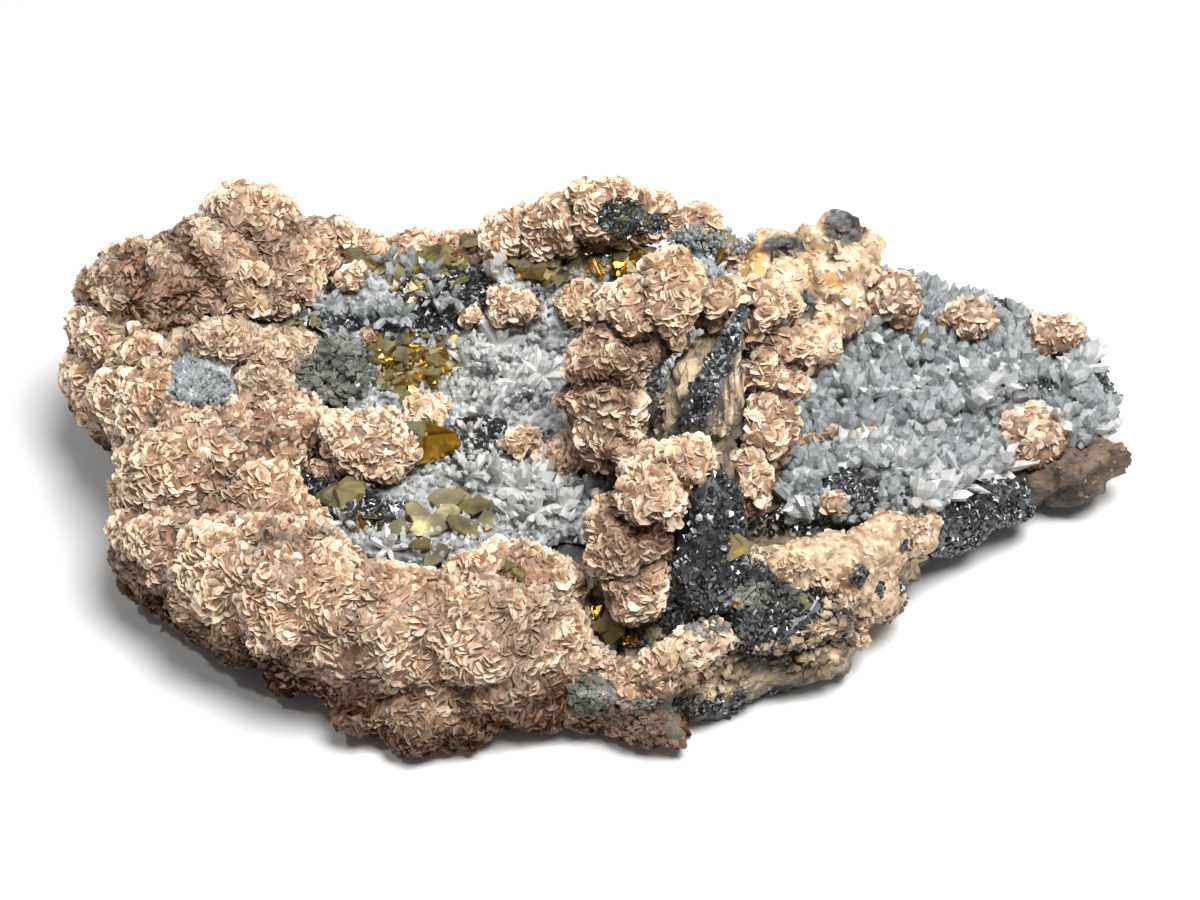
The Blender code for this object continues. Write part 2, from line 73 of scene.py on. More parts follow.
# Adds one node with its settings, its links as {socket: node or output} and a ramp's stops.
def put(tree, kind, settings=None, links=None, ramp=None):
    node = tree.nodes.new("ShaderNode" + kind)
    for key, value in (settings or {}).items():
        if isinstance(value, str) and value.startswith("#"):
            value = linear(value)
        if isinstance(key, int) or key in node.inputs:
            node.inputs[key].default_value = value
        else:
            setattr(node, key, value)
    for i, (position, colour) in enumerate(ramp or ()):
        stops = node.color_ramp.elements
        stop = stops[i] if i < 2 else stops.new(position)
        stop.position = position
        stop.color = linear(colour)
    for key, source in (links or {}).items():
        if isinstance(source, bpy.types.Node):
            source = next(output for output in source.outputs if output.enabled)
        tree.links.new(source, node.inputs[key])
    return node


# An empty material, what adds nodes to it, and the object's own coordinates.
def newMaterial(name):
    material = bpy.data.materials.new(name)
    material.use_nodes = True
    material.node_tree.nodes.clear()
    add = partial(put, material.node_tree)
    return material, add, add("TexCoord").outputs["Object"]


# Gives a material its one shader.
def withShader(material, settings=None, links=None):
    add = partial(put, material.node_tree)
    add("OutputMaterial", links={"Surface": add("BsdfPrincipled", settings, links)})
    return material


# How far apart a pattern's features lie, in mm, as a noise scale per metre.
def perMm(size):
    return 1.0 / (size * mm)


def lookVector():
    tilt = radians(stage["elevation"])
    return Vector((0.0, cos(tilt), -sin(tilt)))


def setStage():
    scene = bpy.context.scene
    look = lookVector()
    target = Vector(stage["target"]) * mm
    data = bpy.data.cameras.new("front camera")
    data.lens = stage["lens"]
    data.sensor_width = stage["sensor"]
    data.clip_start = 0.01
    camera = bpy.data.objects.new("front camera", data)
    camera.location = target - look * stage["distance"] * mm
    camera.rotation_euler = look.to_track_quat("-Z", "Y").to_euler()
    scene.collection.objects.link(camera)
    scene.camera = camera
    scene.view_settings.view_transform = "Standard"

    world = bpy.data.worlds.new("white room")
    world.use_nodes = True
    world.node_tree.nodes.clear()
    sky = put(world.node_tree, "Background", {"Color": "#fbfcff", "Strength": stage["skyStrength"]})
    put(world.node_tree, "OutputWorld", links={"Surface": sky})
    scene.world = world

    for name in ("softbox", "spark"):
        lamp = bpy.data.lights.new(name, "AREA")
        lamp.shape = "DISK"
        lamp.size = stage[f"{name}Size"] * mm
        lamp.energy = stage[f"{name}Power"]
        light = bpy.data.objects.new(name, lamp)
        light.location = Vector(stage[f"{name}Place"]) * mm
        light.rotation_euler = (target - light.location).to_track_quat("-Z", "Y").to_euler()
        scene.collection.objects.link(light)

    # Matt white laminate: a faint unevenness keeps it from looking like empty paper.
    material, add, place = newMaterial("matt white laminate")
    cloud = add("TexNoise", {"Scale": perMm(90), "Detail": 2.0}, {"Vector": place})
    tint = add("ValToRGB", links={"Fac": cloud}, ramp=((0.35, "#e9e9e8"), (0.65, "#efefee")))
    withShader(material, {"Roughness": 0.6}, {"Base Color": tint})
    bm = bmesh.new()
    bmesh.ops.create_circle(bm, cap_ends=True, segments=96, radius=stage["floorRadius"] * mm)
    mesh = bpy.data.meshes.new("floor")
    bm.to_mesh(mesh)
    bm.free()
    mesh.materials.append(material)
    floor = bpy.data.objects.new("floor", mesh)
    scene.collection.objects.link(floor)
    print("stage set")


# Rhodochrosite grown as rosettes of curved blades: silky pale pink, with no two blades quite the same tint.
# The thin blade tips are creamier as painted light, the blades browner down between them as painted shade,
# and darker again as painted shade where the points say.
def bladeMaterial(name, deep, body, light, tip, root, warm):
    material, add, place = newMaterial(name)
    island = add("NewGeometry")
    rise = add("Attribute", {"attribute_name": "rise"})
    blade = add("ValToRGB", links={"Fac": island.outputs["Random Per Island"]},
                ramp=((0.0, deep), (1.0, light), (0.4, body)))
    zone = add("TexNoise", {"Scale": perMm(17), "Detail": 3.0}, {"Vector": place})
    zoneShare = add("MapRange", {"From Min": 0.45, "From Max": 0.7, "To Max": 0.75}, {"Value": zone})
    warmed = add("Mix", {"data_type": "RGBA", 7: warm}, {0: zoneShare, 6: blade})
    # painted shade: browner towards each blade's root, down between the blades
    rootShadeShare = add("MapRange",
                    {"From Min": 0.1, "From Max": 0.45, "To Min": 0.9, "To Max": 0.0},
                    {"Value": rise.outputs["Fac"]})
    rootShaded = add("Mix", {"data_type": "RGBA", 7: root}, {0: rootShadeShare, 6: warmed})
    # painted light: creamier towards each blade's thin tip
    tipLightShare = add("MapRange", {"From Min": 0.7, "To Max": 0.7}, {"Value": rise.outputs["Fac"]})
    tipLit = add("Mix", {"data_type": "RGBA", 7: tip}, {0: tipLightShare, 6: rootShaded})
    # painted shade: multiplied darker brown by the points' shade value; on the knot the same value marks its
    # dark sphalerite windows
    stain = add("Attribute", {"attribute_name": "stain"})
    shadeAndOreDarkened = add("Mix", {"data_type": "RGBA", "blend_type": "MULTIPLY", 7: "#5e4531"},
                  {0: stain.outputs["Fac"], 6: tipLit})
    grain = add("TexNoise", {"Scale": perMm(0.5), "Detail": 3.0}, {"Vector": place})
    gloss = add("MapRange", {"To Min": 0.2, "To Max": 0.5}, {"Value": grain})
    crumple = add("TexNoise", {"Scale": perMm(1.6), "Detail": 4.0, "Roughness": 0.6, "Distortion": 1.2},
                  {"Vector": place})
    bent = add("Bump", {"Strength": 0.9, "Distance": 0.55 * mm}, {"Height": crumple})
    bump = add("Bump", {"Strength": 0.35, "Distance": 0.12 * mm}, {"Height": grain, "Normal": bent})
    return withShader(material, {"IOR": 1.7}, {"Base Color": shadeAndOreDarkened, "Roughness": gloss, "Normal": bump})


# The massive rhodochrosite below the blades: dull and fine-grained, its colour darkened as painted shade, as
# it is seen only in the gaps.
def crustMaterial(name, dark, body):
    material, add, place = newMaterial(name)
    grain = add("TexNoise", {"Scale": perMm(1.4), "Detail": 5.0}, {"Vector": place})
    tint = add("ValToRGB", links={"Fac": grain}, ramp=((0.35, dark), (0.68, body)))
    bump = add("Bump", {"Strength": 0.7, "Distance": 0.4 * mm}, {"Height": grain})
    return withShader(material, {"IOR": 1.7, "Roughness": 0.6}, {"Base Color": tint, "Normal": bump})


# The altered block at the back: cream rock with windows of black sphalerite and an orange stain.
def knotMaterial():
    material, add, place = newMaterial("altered cream rock with sphalerite")
    dark = add("Attribute", {"attribute_name": "stain"})
    orange = add("Attribute", {"attribute_name": "rise"})
    grain = add("TexNoise", {"Scale": perMm(2.4), "Detail": 6.0, "Roughness": 0.65}, {"Vector": place})
    ground = add("ValToRGB", links={"Fac": grain},
                 ramp=((0.34, "#7d6248"), (0.7, "#f2e2c8"), (0.45, "#c9a684"), (0.55, "#e2c6a4")))
    warmed = add("Mix", {"data_type": "RGBA", 7: "#dba765"}, {0: orange.outputs["Fac"], 6: ground})
    ore = add("ValToRGB", links={"Fac": grain}, ramp=((0.4, "#262727"), (0.66, "#747573")))
    tint = add("Mix", {"data_type": "RGBA"}, {0: dark.outputs["Fac"], 6: warmed, 7: ore})
    bump = add("Bump", {"Strength": 0.9, "Distance": 0.6 * mm}, {"Height": grain})
    return withShader(material, {"IOR": 1.6, "Roughness": 0.5}, {"Base Color": tint, "Normal": bump})


# Quartz points: clear glassy tips over milky roots, some crystals cloudier than others.
def quartzMaterial(name, clearest, milkiest, tipColour, rootColour):
    material, add, place = newMaterial(name)
    island = add("NewGeometry")
    tip = add("Attribute", {"attribute_name": "rise"})
    veil = add("TexNoise", {"Scale": perMm(1.6), "Detail": 3.0}, {"Vector": place})
    # milky share: the crystal's own chance, its height along the point and the veils in it
    lot = add("Math", {"operation": "MULTIPLY_ADD", 1: 0.5},
              {0: island.outputs["Random Per Island"], 2: veil})
    high = add("Math", {"operation": "MULTIPLY_ADD", 1: -0.35}, {0: tip.outputs["Fac"], 2: lot})
    clear = add("MapRange", {"From Min": 0.25, "To Min": clearest, "To Max": milkiest}, {"Value": high})
    tint = add("ValToRGB", links={"Fac": high}, ramp=((0.2, tipColour), (0.9, rootColour)))
    return withShader(material, {"IOR": 1.544, "Roughness": 0.2},
                      {"Base Color": tint, "Transmission Weight": clear})


# The drusy quartz crust under the points: grey translucent grains over dark sulphide.
def druseMaterial(name, dark, middle, light):
    material, add, place = newMaterial(name)
    grains = add("TexVoronoi", {"Scale": perMm(1.3)}, {"Vector": place})
    patch = add("TexNoise", {"Scale": perMm(7), "Detail": 4.0}, {"Vector": place})
    both = add("Math", {"operation": "MULTIPLY_ADD", 1: 0.4}, {0: grains, 2: patch})
    tint = add("ValToRGB", links={"Fac": both}, ramp=((0.45, dark), (0.9, light), (0.62, middle)))
    bump = add("Bump", {"Strength": 0.9, "Distance": 0.6 * mm}, {"Height": grains})
    return withShader(material, {"IOR": 1.544, "Roughness": 0.5}, {"Base Color": tint, "Normal": bump})


# Chalcopyrite, tarnished: dull olive films on the faces that look up, fresh brass and gold on some
# of the steep ones.
def chalcopyriteMaterial(name, perCrystal, axis="Z", steep=-0.3):
    material, add, place = newMaterial(name)
    geometry = add("NewGeometry")
    film = add("TexNoise", {"Scale": perMm(4.5), "Detail": 3.0}, {"Vector": place})
    lot = add("Math", {"operation": "MULTIPLY_ADD", 1: perCrystal},
              {0: geometry.outputs["Random Per Island"], 2: film})
    facing = add("SeparateXYZ", links={0: geometry.outputs["Normal"]})
    chance = add("Math", {"operation": "MULTIPLY_ADD", 1: steep}, {0: facing.outputs[axis], 2: lot})
    tint = add("ValToRGB", links={"Fac": chance},
               ramp=((0.15, "#3b3621"), (0.9, "#e2ae40"), (0.42, "#716843"), (0.62, "#95875a"),
                     (0.76, "#b3934c")))
    lines = add("TexNoise", {"Scale": perMm(0.6), "Detail": 4.0}, {"Vector": place})
    gloss = add("MapRange",
                {"From Min": 0.4, "From Max": 0.75, "To Min": 0.6, "To Max": 0.22},
                {"Value": chance})
    metal = add("MapRange",
                {"From Min": 0.45, "From Max": 0.75, "To Min": 0.15, "To Max": 1.0},
                {"Value": chance})
    bump = add("Bump", {"Strength": 0.3, "Distance": 0.1 * mm}, {"Height": lines})
    return withShader(material, links={"Base Color": tint, "Roughness": gloss, "Metallic": metal,
                                       "Normal": bump})


# Sphalerite, black and adamantine: blue-black faces that mirror the light one by one.
def sphaleriteMaterial():
    material, add, place = newMaterial("black sphalerite")
    island = add("NewGeometry")
    dust = add("TexNoise", {"Scale": perMm(5), "Detail": 5.0}, {"Vector": place})
    sooty = add("Math", {"operation": "MULTIPLY_ADD", 1: 0.3},
                {0: island.outputs["Random Per Island"], 2: dust})
    tint = add("ValToRGB", links={"Fac": sooty},
               ramp=((0.4, "#060708"), (0.95, "#4c4f51"), (0.72, "#181a1c")))
    gloss = add("MapRange", {"To Min": 0.12, "To Max": 0.5}, {"Value": sooty})
    return withShader(material, {"IOR": 2.1}, {"Base Color": tint, "Roughness": gloss})


# The fin's material: scaly dark sphalerite along the crest, cream and brown streaked rock beside it,
# so that it reads as one leaning blade.
def finMaterial():
    material, add, place = newMaterial("sphalerite fin in streaked rock")
    crest = add("Attribute", {"attribute_name": "stain"})
    lined = add("Mapping", {"Rotation": (0.0, 0.5, 0.5), "Scale": (5.0, 1.0, 1.0)}, {"Vector": place})
    streaks = add("TexNoise", {"Scale": perMm(5), "Detail": 5.0}, {"Vector": lined})
    rock = add("ValToRGB", links={"Fac": streaks},
               ramp=((0.38, "#3f3426"), (0.66, "#dcc9aa"), (0.5, "#9c8665")))
    scales = add("TexNoise", {"Scale": perMm(1.1), "Detail": 4.0}, {"Vector": place})
    dark = add("ValToRGB", links={"Fac": scales}, ramp=((0.4, "#1d1f20"), (0.7, "#6f7372")))
    tint = add("Mix", {"data_type": "RGBA"}, {0: crest.outputs["Fac"], 6: rock, 7: dark})
    bump = add("Bump", {"Strength": 0.8, "Distance": 0.5 * mm}, {"Height": scales})
    return withShader(material, {"IOR": 2.0, "Roughness": 0.42}, {"Base Color": tint, "Normal": bump})


# The broken host rock: cream altered rhyolite in streaks, grey sulphide ore and dark specks.
def rockMaterial(name, dark, light, middle):
    material, add, place = newMaterial(name)
    streaks = add("Mapping", {"Rotation": (0.3, 0.5, 0.4), "Scale": (1.0, 1.0, 3.0)}, {"Vector": place})
    zones = add("TexNoise", {"Scale": perMm(11), "Detail": 6.0, "Roughness": 0.6}, {"Vector": streaks})
    ground = add("ValToRGB", links={"Fac": zones}, ramp=((0.36, dark), (0.64, light), (0.5, middle)))
    specks = add("TexNoise", {"Scale": perMm(2.4), "Detail": 6.0, "Roughness": 0.65}, {"Vector": place})
    speckShare = add("MapRange", {"From Min": 0.56, "From Max": 0.66, "To Max": 0.8}, {"Value": specks})
    ore = add("Attribute", {"attribute_name": "stain"})
    greyed = add("Mix", {"data_type": "RGBA", 7: "#4d504e"}, {0: ore.outputs["Fac"], 6: ground})
    tint = add("Mix", {"data_type": "RGBA", 7: "#3a3834"}, {0: speckShare, 6: greyed})
    bump = add("Bump", {"Strength": 1.0, "Distance": 1.4 * mm}, {"Height": specks})
    return withShader(material, {"IOR": 1.55, "Roughness": 0.65}, {"Base Color": tint, "Normal": bump})


# An object made from a bmesh, which is used up.
def newObject(name, bm):
    mesh = bpy.data.meshes.new(name)
    bm.to_mesh(mesh)
    bm.free()
    obj = bpy.data.objects.new(name, mesh)
    bpy.context.scene.collection.objects.link(obj)
    return obj


# A node's solid as one closed bmesh in its place, in metres.
def weldedMesh(nodeName):
    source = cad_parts[nodeName]
    bm = bmesh.new()
    bm.from_mesh(source.data)
    bm.transform(source.matrix_world)
    bmesh.ops.remove_doubles(bm, verts=bm.verts, dist=0.002 * mm)
    return bm


# A random vector, as likely one way as another.
def strayVector(rng, spread=1.0):
    return Vector([rng.gauss(0, spread) for _ in range(3)])


# One way turned towards another that is square to it.
def turned(way, side, angle):
    return way * cos(angle) + side * sin(angle)


# Uneven heights at some points, from features of one size in mm.
def ruggedness(points, size, fade=0.7, step=2.1):
    return np.array([noise.fractal(Vector(point) / size, fade, step, 3) for point in points])


# The hull of some corners as a shape, its edges cut off as wide as bevel.
def hullOf(corners, bevel=0.0):
    bm = bmesh.new()
    for corner in corners:
        bm.verts.new(corner)
    bmesh.ops.convex_hull(bm, input=bm.verts)
    bmesh.ops.delete(bm, geom=[v for v in bm.verts if not v.link_faces], context="VERTS")
    if bevel:
        bmesh.ops.bevel(bm, geom=bm.edges[:] + bm.verts[:], offset=bevel, segments=1, affect="EDGES",
                        clamp_overlap=True)
        bmesh.ops.triangulate(bm, faces=bm.faces)
    bm.verts.index_update()
    points = np.array([v.co.copy() for v in bm.verts])
    tris = [[v.index for v in face.verts] for face in bm.faces]
    bm.free()
    if bevel:   # it leaves its faces in any order
        tris = sorted(tri[tri.index(min(tri)):] + tri[:tri.index(min(tri))] for tri in tris)
    return points, np.array(tris), np.zeros(len(points))


# The side triangles between a ring of corners and the ring that follows it.
def ringSides(corners, start=0):
    tris = []
    for i in range(start, start + corners):
        j = start + (i - start + 1) % corners
        tris += [(i, j, j + corners), (i, j + corners, i + corners)]
    return tris


# A node's own skin with even faces and its flat facets rounded, as (points, normals, faces) in mm.
def evenSkin(nodeName, voxel, rounds):
    obj = newObject("skin", weldedMesh(nodeName))
    remesh = obj.modifiers.new("even faces", "REMESH")
    remesh.mode = "VOXEL"
    remesh.voxel_size = voxel * mm
    smooth = obj.modifiers.new("rounded", "SMOOTH")
    smooth.factor = 0.5
    smooth.iterations = rounds
    graph = bpy.context.evaluated_depsgraph_get()
    mesh = bpy.data.meshes.new_from_object(obj.evaluated_get(graph))
    points = np.empty(len(mesh.vertices) * 3)
    mesh.vertices.foreach_get("co", points)
    normals = np.empty(len(mesh.vertices) * 3)
    mesh.vertices.foreach_get("normal", normals)
    faces = [tuple(face.vertices) for face in mesh.polygons]
    bpy.data.objects.remove(obj)
    bpy.data.meshes.remove(mesh)
    return points.reshape(-1, 3) / mm, normals.reshape(-1, 3), faces


# The middle and the normal of each face.
def facesCentres(points, faces):
    index = np.array([face if len(face) == 4 else (*face, face[2]) for face in faces])
    corners = points[index]
    normal = np.cross(corners[:, 2] - corners[:, 0], corners[:, 3] - corners[:, 1])
    flat = np.linalg.norm(normal, axis=1) < 1e-9
    normal[flat] = (0, 0, 1)
    return corners.mean(axis=1), normal / np.linalg.norm(normal, axis=1)[:, None]


# Copies a small shape to many places at once. Each place is an origin and a 3 x 3 basis.
def copies(shape, origins, bases):
    points, tris, edges = shape
    count = len(origins)
    if count == 0:
        return np.empty((0, 3)), np.empty((0, 3), int), np.empty(0)
    spread = np.einsum("kij,nj->kni", bases, points) + origins[:, None, :]
    offsets = (np.arange(count) * len(points))[:, None, None]
    return spread.reshape(-1, 3), (tris[None] + offsets).reshape(-1, 3), np.tile(edges, count)


# Makes one piece of the specimen from parts of (points, faces, edge values, material) and, for some, a value
# per point that is painted shade on the rhodochrosite and dark ore on the rock, the fin and the caps.
def addPiece(name, parts, replaced=(), smooth=0):
    points, faces, edges, shadeAndOreValues, slots = [], [], [], [], []
    materials = []
    start = 0
    for partPoints, partFaces, partEdges, material, *stain in parts:
        if len(partPoints) == 0:
            continue
        each = material if isinstance(material, list) else [material] * len(partFaces)
        materials += [kind for kind in dict.fromkeys(each) if kind not in materials]
        points.append(partPoints)
        edges.append(partEdges)
        shadeAndOreValues.append(stain[0] if stain else np.zeros(len(partPoints)))
        faces.extend([tuple(int(i) + start for i in face) for face in partFaces])
        slots.extend(materials.index(kind) for kind in each)
        start += len(partPoints)
    places = np.concatenate(points) * mm
    places[:, 2] = np.maximum(places[:, 2], 0.0)
    mesh = bpy.data.meshes.new(name)
    mesh.from_pydata(places.tolist(), [], faces)
    for material in materials:
        mesh.materials.append(material)
    mesh.polygons.foreach_set("material_index", slots)
    if smooth:
        mesh.polygons.foreach_set("use_smooth", [True] * len(faces))
        mesh.set_sharp_from_angle(angle=radians(smooth))
    # the second value is painted shade on the rhodochrosite and marks dark ore elsewhere
    for label, values in (("rise", edges), ("stain", shadeAndOreValues)):
        mesh.attributes.new(label, "FLOAT", "POINT").data.foreach_set("value", np.concatenate(values))
    mesh.update()
    obj = bpy.data.objects.new(name, mesh)
    bpy.context.scene.collection.objects.link(obj)
    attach(obj, "root")
    if replaced:
        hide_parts(*replaced)
    print(f"{name}: {len(faces)} faces")


# Two chalcopyrite nodes that are drawn again as loose crystals; what grows round them ignores them.
redrawn = ("chalcopyrite_front_plates", "chalcopyrite_large_crystal")


# Every CAD node as a search tree in mm, and all of them in one, to find what carries a crystal.
def growTrees():
    trees, verts, faces, owners = {}, [], [], []
    for name in sorted(set(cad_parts) - set(redrawn)):
        bm = weldedMesh(name)
        bmesh.ops.scale(bm, vec=(1 / mm, 1 / mm, 1 / mm), verts=bm.verts)
        bm.verts.ensure_lookup_table()
        trees[name] = BVHTree.FromBMesh(bm)
        start = len(verts)
        verts.extend(v.co.copy() for v in bm.verts)
        faces.extend(tuple(v.index + start for v in face.verts) for face in bm.faces)
        owners.extend([name] * len(bm.faces))
        bm.free()
    return trees, BVHTree.FromPolygons(verts, faces), owners


# The line of sight through (x, y) in the front view.
def sightLine(x, y):
    look = lookVector()
    right, up = Vector((1, 0, 0)), Vector((1, 0, 0)).cross(look)
    eye = Vector(stage["target"]) - look * stage["distance"]
    scale = stage["sensor"] / stage["lens"] / viewSize[0]
    ray = look + right * (x - viewSize[0] / 2) * scale + up * (viewSize[1] / 2 - y) * scale
    return eye, ray.normalized()


# The place on the specimen that shows at (x, y) in the front view: where, its normal, its node.
def placeInView(x, y):
    spot, normal, face, _ = wholeTree.ray_cast(*sightLine(x, y))
    if spot is None:
        return None
    return spot, normal, owners[face]


# Random places inside an ellipse of the front view, where they land on the specimen: the spot, its
# normal, its node, and how far out in the ellipse it lies, 0 to 1.
def landings(x, y, halfWidth, halfHeight, count, rng):
    for _ in range(count):
        angle, reach = rng.uniform(0, tau), sqrt(rng.random())
        found = placeInView(x + halfWidth * reach * cos(angle), y + halfHeight * reach * sin(angle))
        if found:
            yield (*found, reach)


# The place that shows at (x, y) in the front view and lies at a height in mm.
def placeAtHeight(x, y, height):
    eye, ray = sightLine(x, y)
    return eye + ray * ((height - eye.z) / ray.z)


# Where places in mm show in the front view.
def seenAt(points):
    look = np.array(lookVector())
    up = np.cross((1, 0, 0), look)
    away = points - (np.array(stage["target"]) - look * stage["distance"])
    scale = stage["lens"] / stage["sensor"] * viewSize[0] / (away @ look)
    return np.stack((viewSize[0] / 2 + away[:, 0] * scale, viewSize[1] / 2 - (away @ up) * scale), axis=1)


# Leaves out what sits on a face that another mineral covers.
def uncovered(spots, normals, own, reach):
    keep = []
    others = [tree for name, tree in trees.items() if name not in own]
    for i, (spot, normal) in enumerate(zip(spots, normals)):
        start, way = Vector(spot + normal * 0.05), Vector(normal)
        if not any(tree.ray_cast(start, way, reach)[0] for tree in others):
            keep.append(i)
    return keep


# Rhodochrosite: rounded rolls built of rosettes of blades.
rosettes = {
    "smoothRounds": 5,
    "underside": 1.5,  # mm, below this the skin stays level
    "lowestBlade": 1.2,  # mm
    "wander": 0.6,  # radians that a blade turns out of its rosette's pattern
    "patterns": (0.3, 0.65),  # share of rosettes with blades along their rays, and round them
    "jitter": 0.55,  # of a face's width
    "spin": 0.5,  # radians, in a blade's own plane
    "shapes": 10,
    "mostBlades": 9200,  # in one piece; what is more goes into a second one
    "ballDepth": 0.8,  # share of a ball's radius that its centre lies inside the skin
    "ballLean": 0.6,  # how much the centre lies away from the eye
    "valley": 2.1,  # mm, how deep the folds between neighbouring balls are
    "valleyWidth": 0.22,  # share of a ball's radius
    "frontRoll": (545, 0.5),  # below this line of the front view the folds are this share as deep
    "leftRoll": (340, 0.75),  # and left of this line
    "warp": (5.5, 2.6),  # mm, size and reach of the bends that keep the balls from being round
    "bulge": 0.7,
    "strayFrom": 1.35,  # radii from a listed ball where stray ones begin
    "strayBalls": 13.0,  # mm between these
    "strayScale": 1.6,
    "flank": 0.3,  # how far a face looks up where the painted shade begins
    "low": (1.2, 14.0),  # the painted shade at the table, and mm over which it fades upwards
    "footStain": 0.3,  # share of the painted shade kept on the foot, as its own rock and blades are painted dark already
    "leftPush": 1.5,  # mm that the far left roll bulges more than its core
    "leftFrom": (-60.0, 30.0),  # mm, from where and over what length it does
    "brown": (0.5, 0.9),  # how strong the painted shade on the sides that turn down to the hollow is, and how wide its edge is
    "bareRough": (1.9, 1.2),  # size and height of the relief where no blades grow, mm
    "hollowDepth": 0.8,  # mm
    "clearAbove": 1.6,  # mm of free space that a blade needs
    "steepest": -0.9,  # how far down the faces with blades may look
    "size": (0.8, 0.3, 0.35),  # a blade's: all of them, more on top of a lump, and from place to place
    "sizeOver": 8.0,  # mm, from place to place
}

# The habits seen on the specimen. Lengths in mm.
habits = {
    "pink": {"voxel": 1.0, "inset": 0.6, "lump": (5.0, 1.3), "radius": (0.6, 1.5),
             "lift": -0.15, "thick": 0.2, "lean": 0.35, "share": 1.0},
    "small": {"voxel": 0.9, "inset": 1.0, "lump": (3.6, 1.2), "radius": (0.5, 1.15),
              "lift": 0.0, "thick": 0.22, "lean": 0.6, "share": 1.0},
    "tan": {"voxel": 1.1, "inset": 0.7, "lump": (4.2, 1.6), "radius": (0.6, 1.2),
            "lift": 0.0, "thick": 0.4, "lean": 0.7, "share": 0.7},
    "cream": {"voxel": 0.9, "inset": 0.5, "lump": (4.8, 1.6), "radius": (0.35, 0.8),
              "lift": -0.1, "thick": 0.5, "lean": 0.8, "share": 0.3},
    "foot": {"voxel": 1.0, "inset": 0.6, "lump": (3.6, 1.5), "radius": (0.4, 0.9),
             "lift": -0.1, "thick": 0.5, "lean": 0.9, "share": 0.15},
    "lip": {"voxel": 0.9, "inset": 0.6, "lump": (4.8, 1.4), "radius": (0.5, 1.2),
            "lift": 0.0, "thick": 0.3, "lean": 0.7, "share": 0.8, "bareBand": (5.0, 11.5)},
    "knot": {"voxel": 0.9, "inset": 0.4, "lump": (5.5, 1.2), "radius": (0.4, 1.1),
             "lift": -0.1, "thick": 0.5, "lean": 0.9, "share": 0.25},
}

# A window of grey quartz in the left roll, in the front view: no blades grow there.
windowZone = ((204, 387, 31, 19), (188, 372, 14, 12))
# Grey druse on the back roll's inner side.
backZone = ((712, 241, 44, 15),)
# A dark hollow with pyrite in the back roll, the same way.
hollowZone = ((622, 218, 23, 18), (652, 224, 14, 9))

# Sides that turn down to the hollow, where the blades get painted shade and look browner, the same way.
shadedSides = ((603, 385, 42, 80), (622, 548, 46, 70), (160, 285, 100, 55))

# On the block at the back: dark sphalerite windows and the orange stain, in the front view.
knotDark = ((784, 246, 24, 11), (845, 226, 22, 20), (806, 306, 12, 16), (833, 256, 7, 7))
knotOrange = ((754, 262, 14, 20), (836, 280, 12, 9))

# The balls that the rosettes build up: place in the front view and radius in mm.
balls = (
    (787, 283, 5), (752, 264, 4.5), (835, 262, 6), (850, 225, 6), (805, 330, 4), (815, 235, 4),
    (255, 215, 9), (295, 240, 8), (235, 255, 9), (175, 280, 9), (135, 285, 7), (110, 340, 7),
    (90, 375, 7), (95, 405, 5), (145, 405, 7), (200, 315, 7), (245, 335, 5), (190, 455, 9.5), (250, 385, 6),
    (300, 415, 6), (245, 430, 6), (320, 440, 4), (370, 450, 7), (345, 470, 5), (400, 480, 5), (250, 500, 9),
    (215, 560, 10), (165, 540, 6), (150, 590, 6), (190, 615, 6), (290, 600, 11), (330, 650, 9),
    (300, 540, 6), (385, 615, 11), (430, 712, 8), (520, 700, 8), (465, 625, 10), (545, 645, 9),
    (480, 565, 6), (520, 615, 7), (540, 575, 6), (640, 590, 6), (625, 540, 7), (650, 500, 6), (690, 455, 5),
    (605, 410, 6), (590, 350, 6), (620, 310, 6), (680, 290, 7), (725, 300, 6), (770, 320, 7), (765, 380, 6),
    (755, 420, 6), (745, 470, 5), (790, 345, 5), (350, 238, 5), (430, 238, 5), (500, 238, 5), (545, 225, 5),
    (605, 200, 6), (655, 200, 5), (700, 225, 5),
)


# A curved blade as a lens with eight corners, standing in x (along) and y (out), thin in z.
def bladeShape(rng, thick):
    points, tris = [], []
    curl, phase = rng.uniform(0.12, 0.34), rng.uniform(0, pi)
    n = 8
    for i in range(n):
        angle = tau * i / n + rng.uniform(-0.2, 0.2)
        reach = rng.uniform(0.8, 1.12)
        points.append((reach * cos(angle), 0.85 * reach * sin(angle),
                       curl * cos(2 * angle + phase) + rng.uniform(-0.13, 0.13)))
    points += [(rng.uniform(-0.2, 0.2), rng.uniform(-0.2, 0.2), thick), (0, 0, -thick)]
    # how far out each corner stands, which the blade material turns into painted shade at the root and
    # painted light at the tip
    edges = [0.5 + 0.5 * point[1] for point in points]
    for i in range(n):
        tris += [(i, (i + 1) % n, n), ((i + 1) % n, i, n + 1)]
    return np.array(points), np.array(tris), np.array(edges)


def lumpAt(place, size):
    distances, centres = noise.voronoi(Vector(place) / size)
    return max(0.0, 1.0 - (distances[0] / 0.75) ** 2), centres[0] * size


# The balls' centres and radii in mm.
def findBalls():
    found = []
    for x, y, radius in balls:
        spot, normal, _ = placeInView(x, y)
        inward = (normal - lookVector() * rosettes["ballLean"]).normalized()
        found.append((spot - inward * radius * rosettes["ballDepth"], radius))
    return found


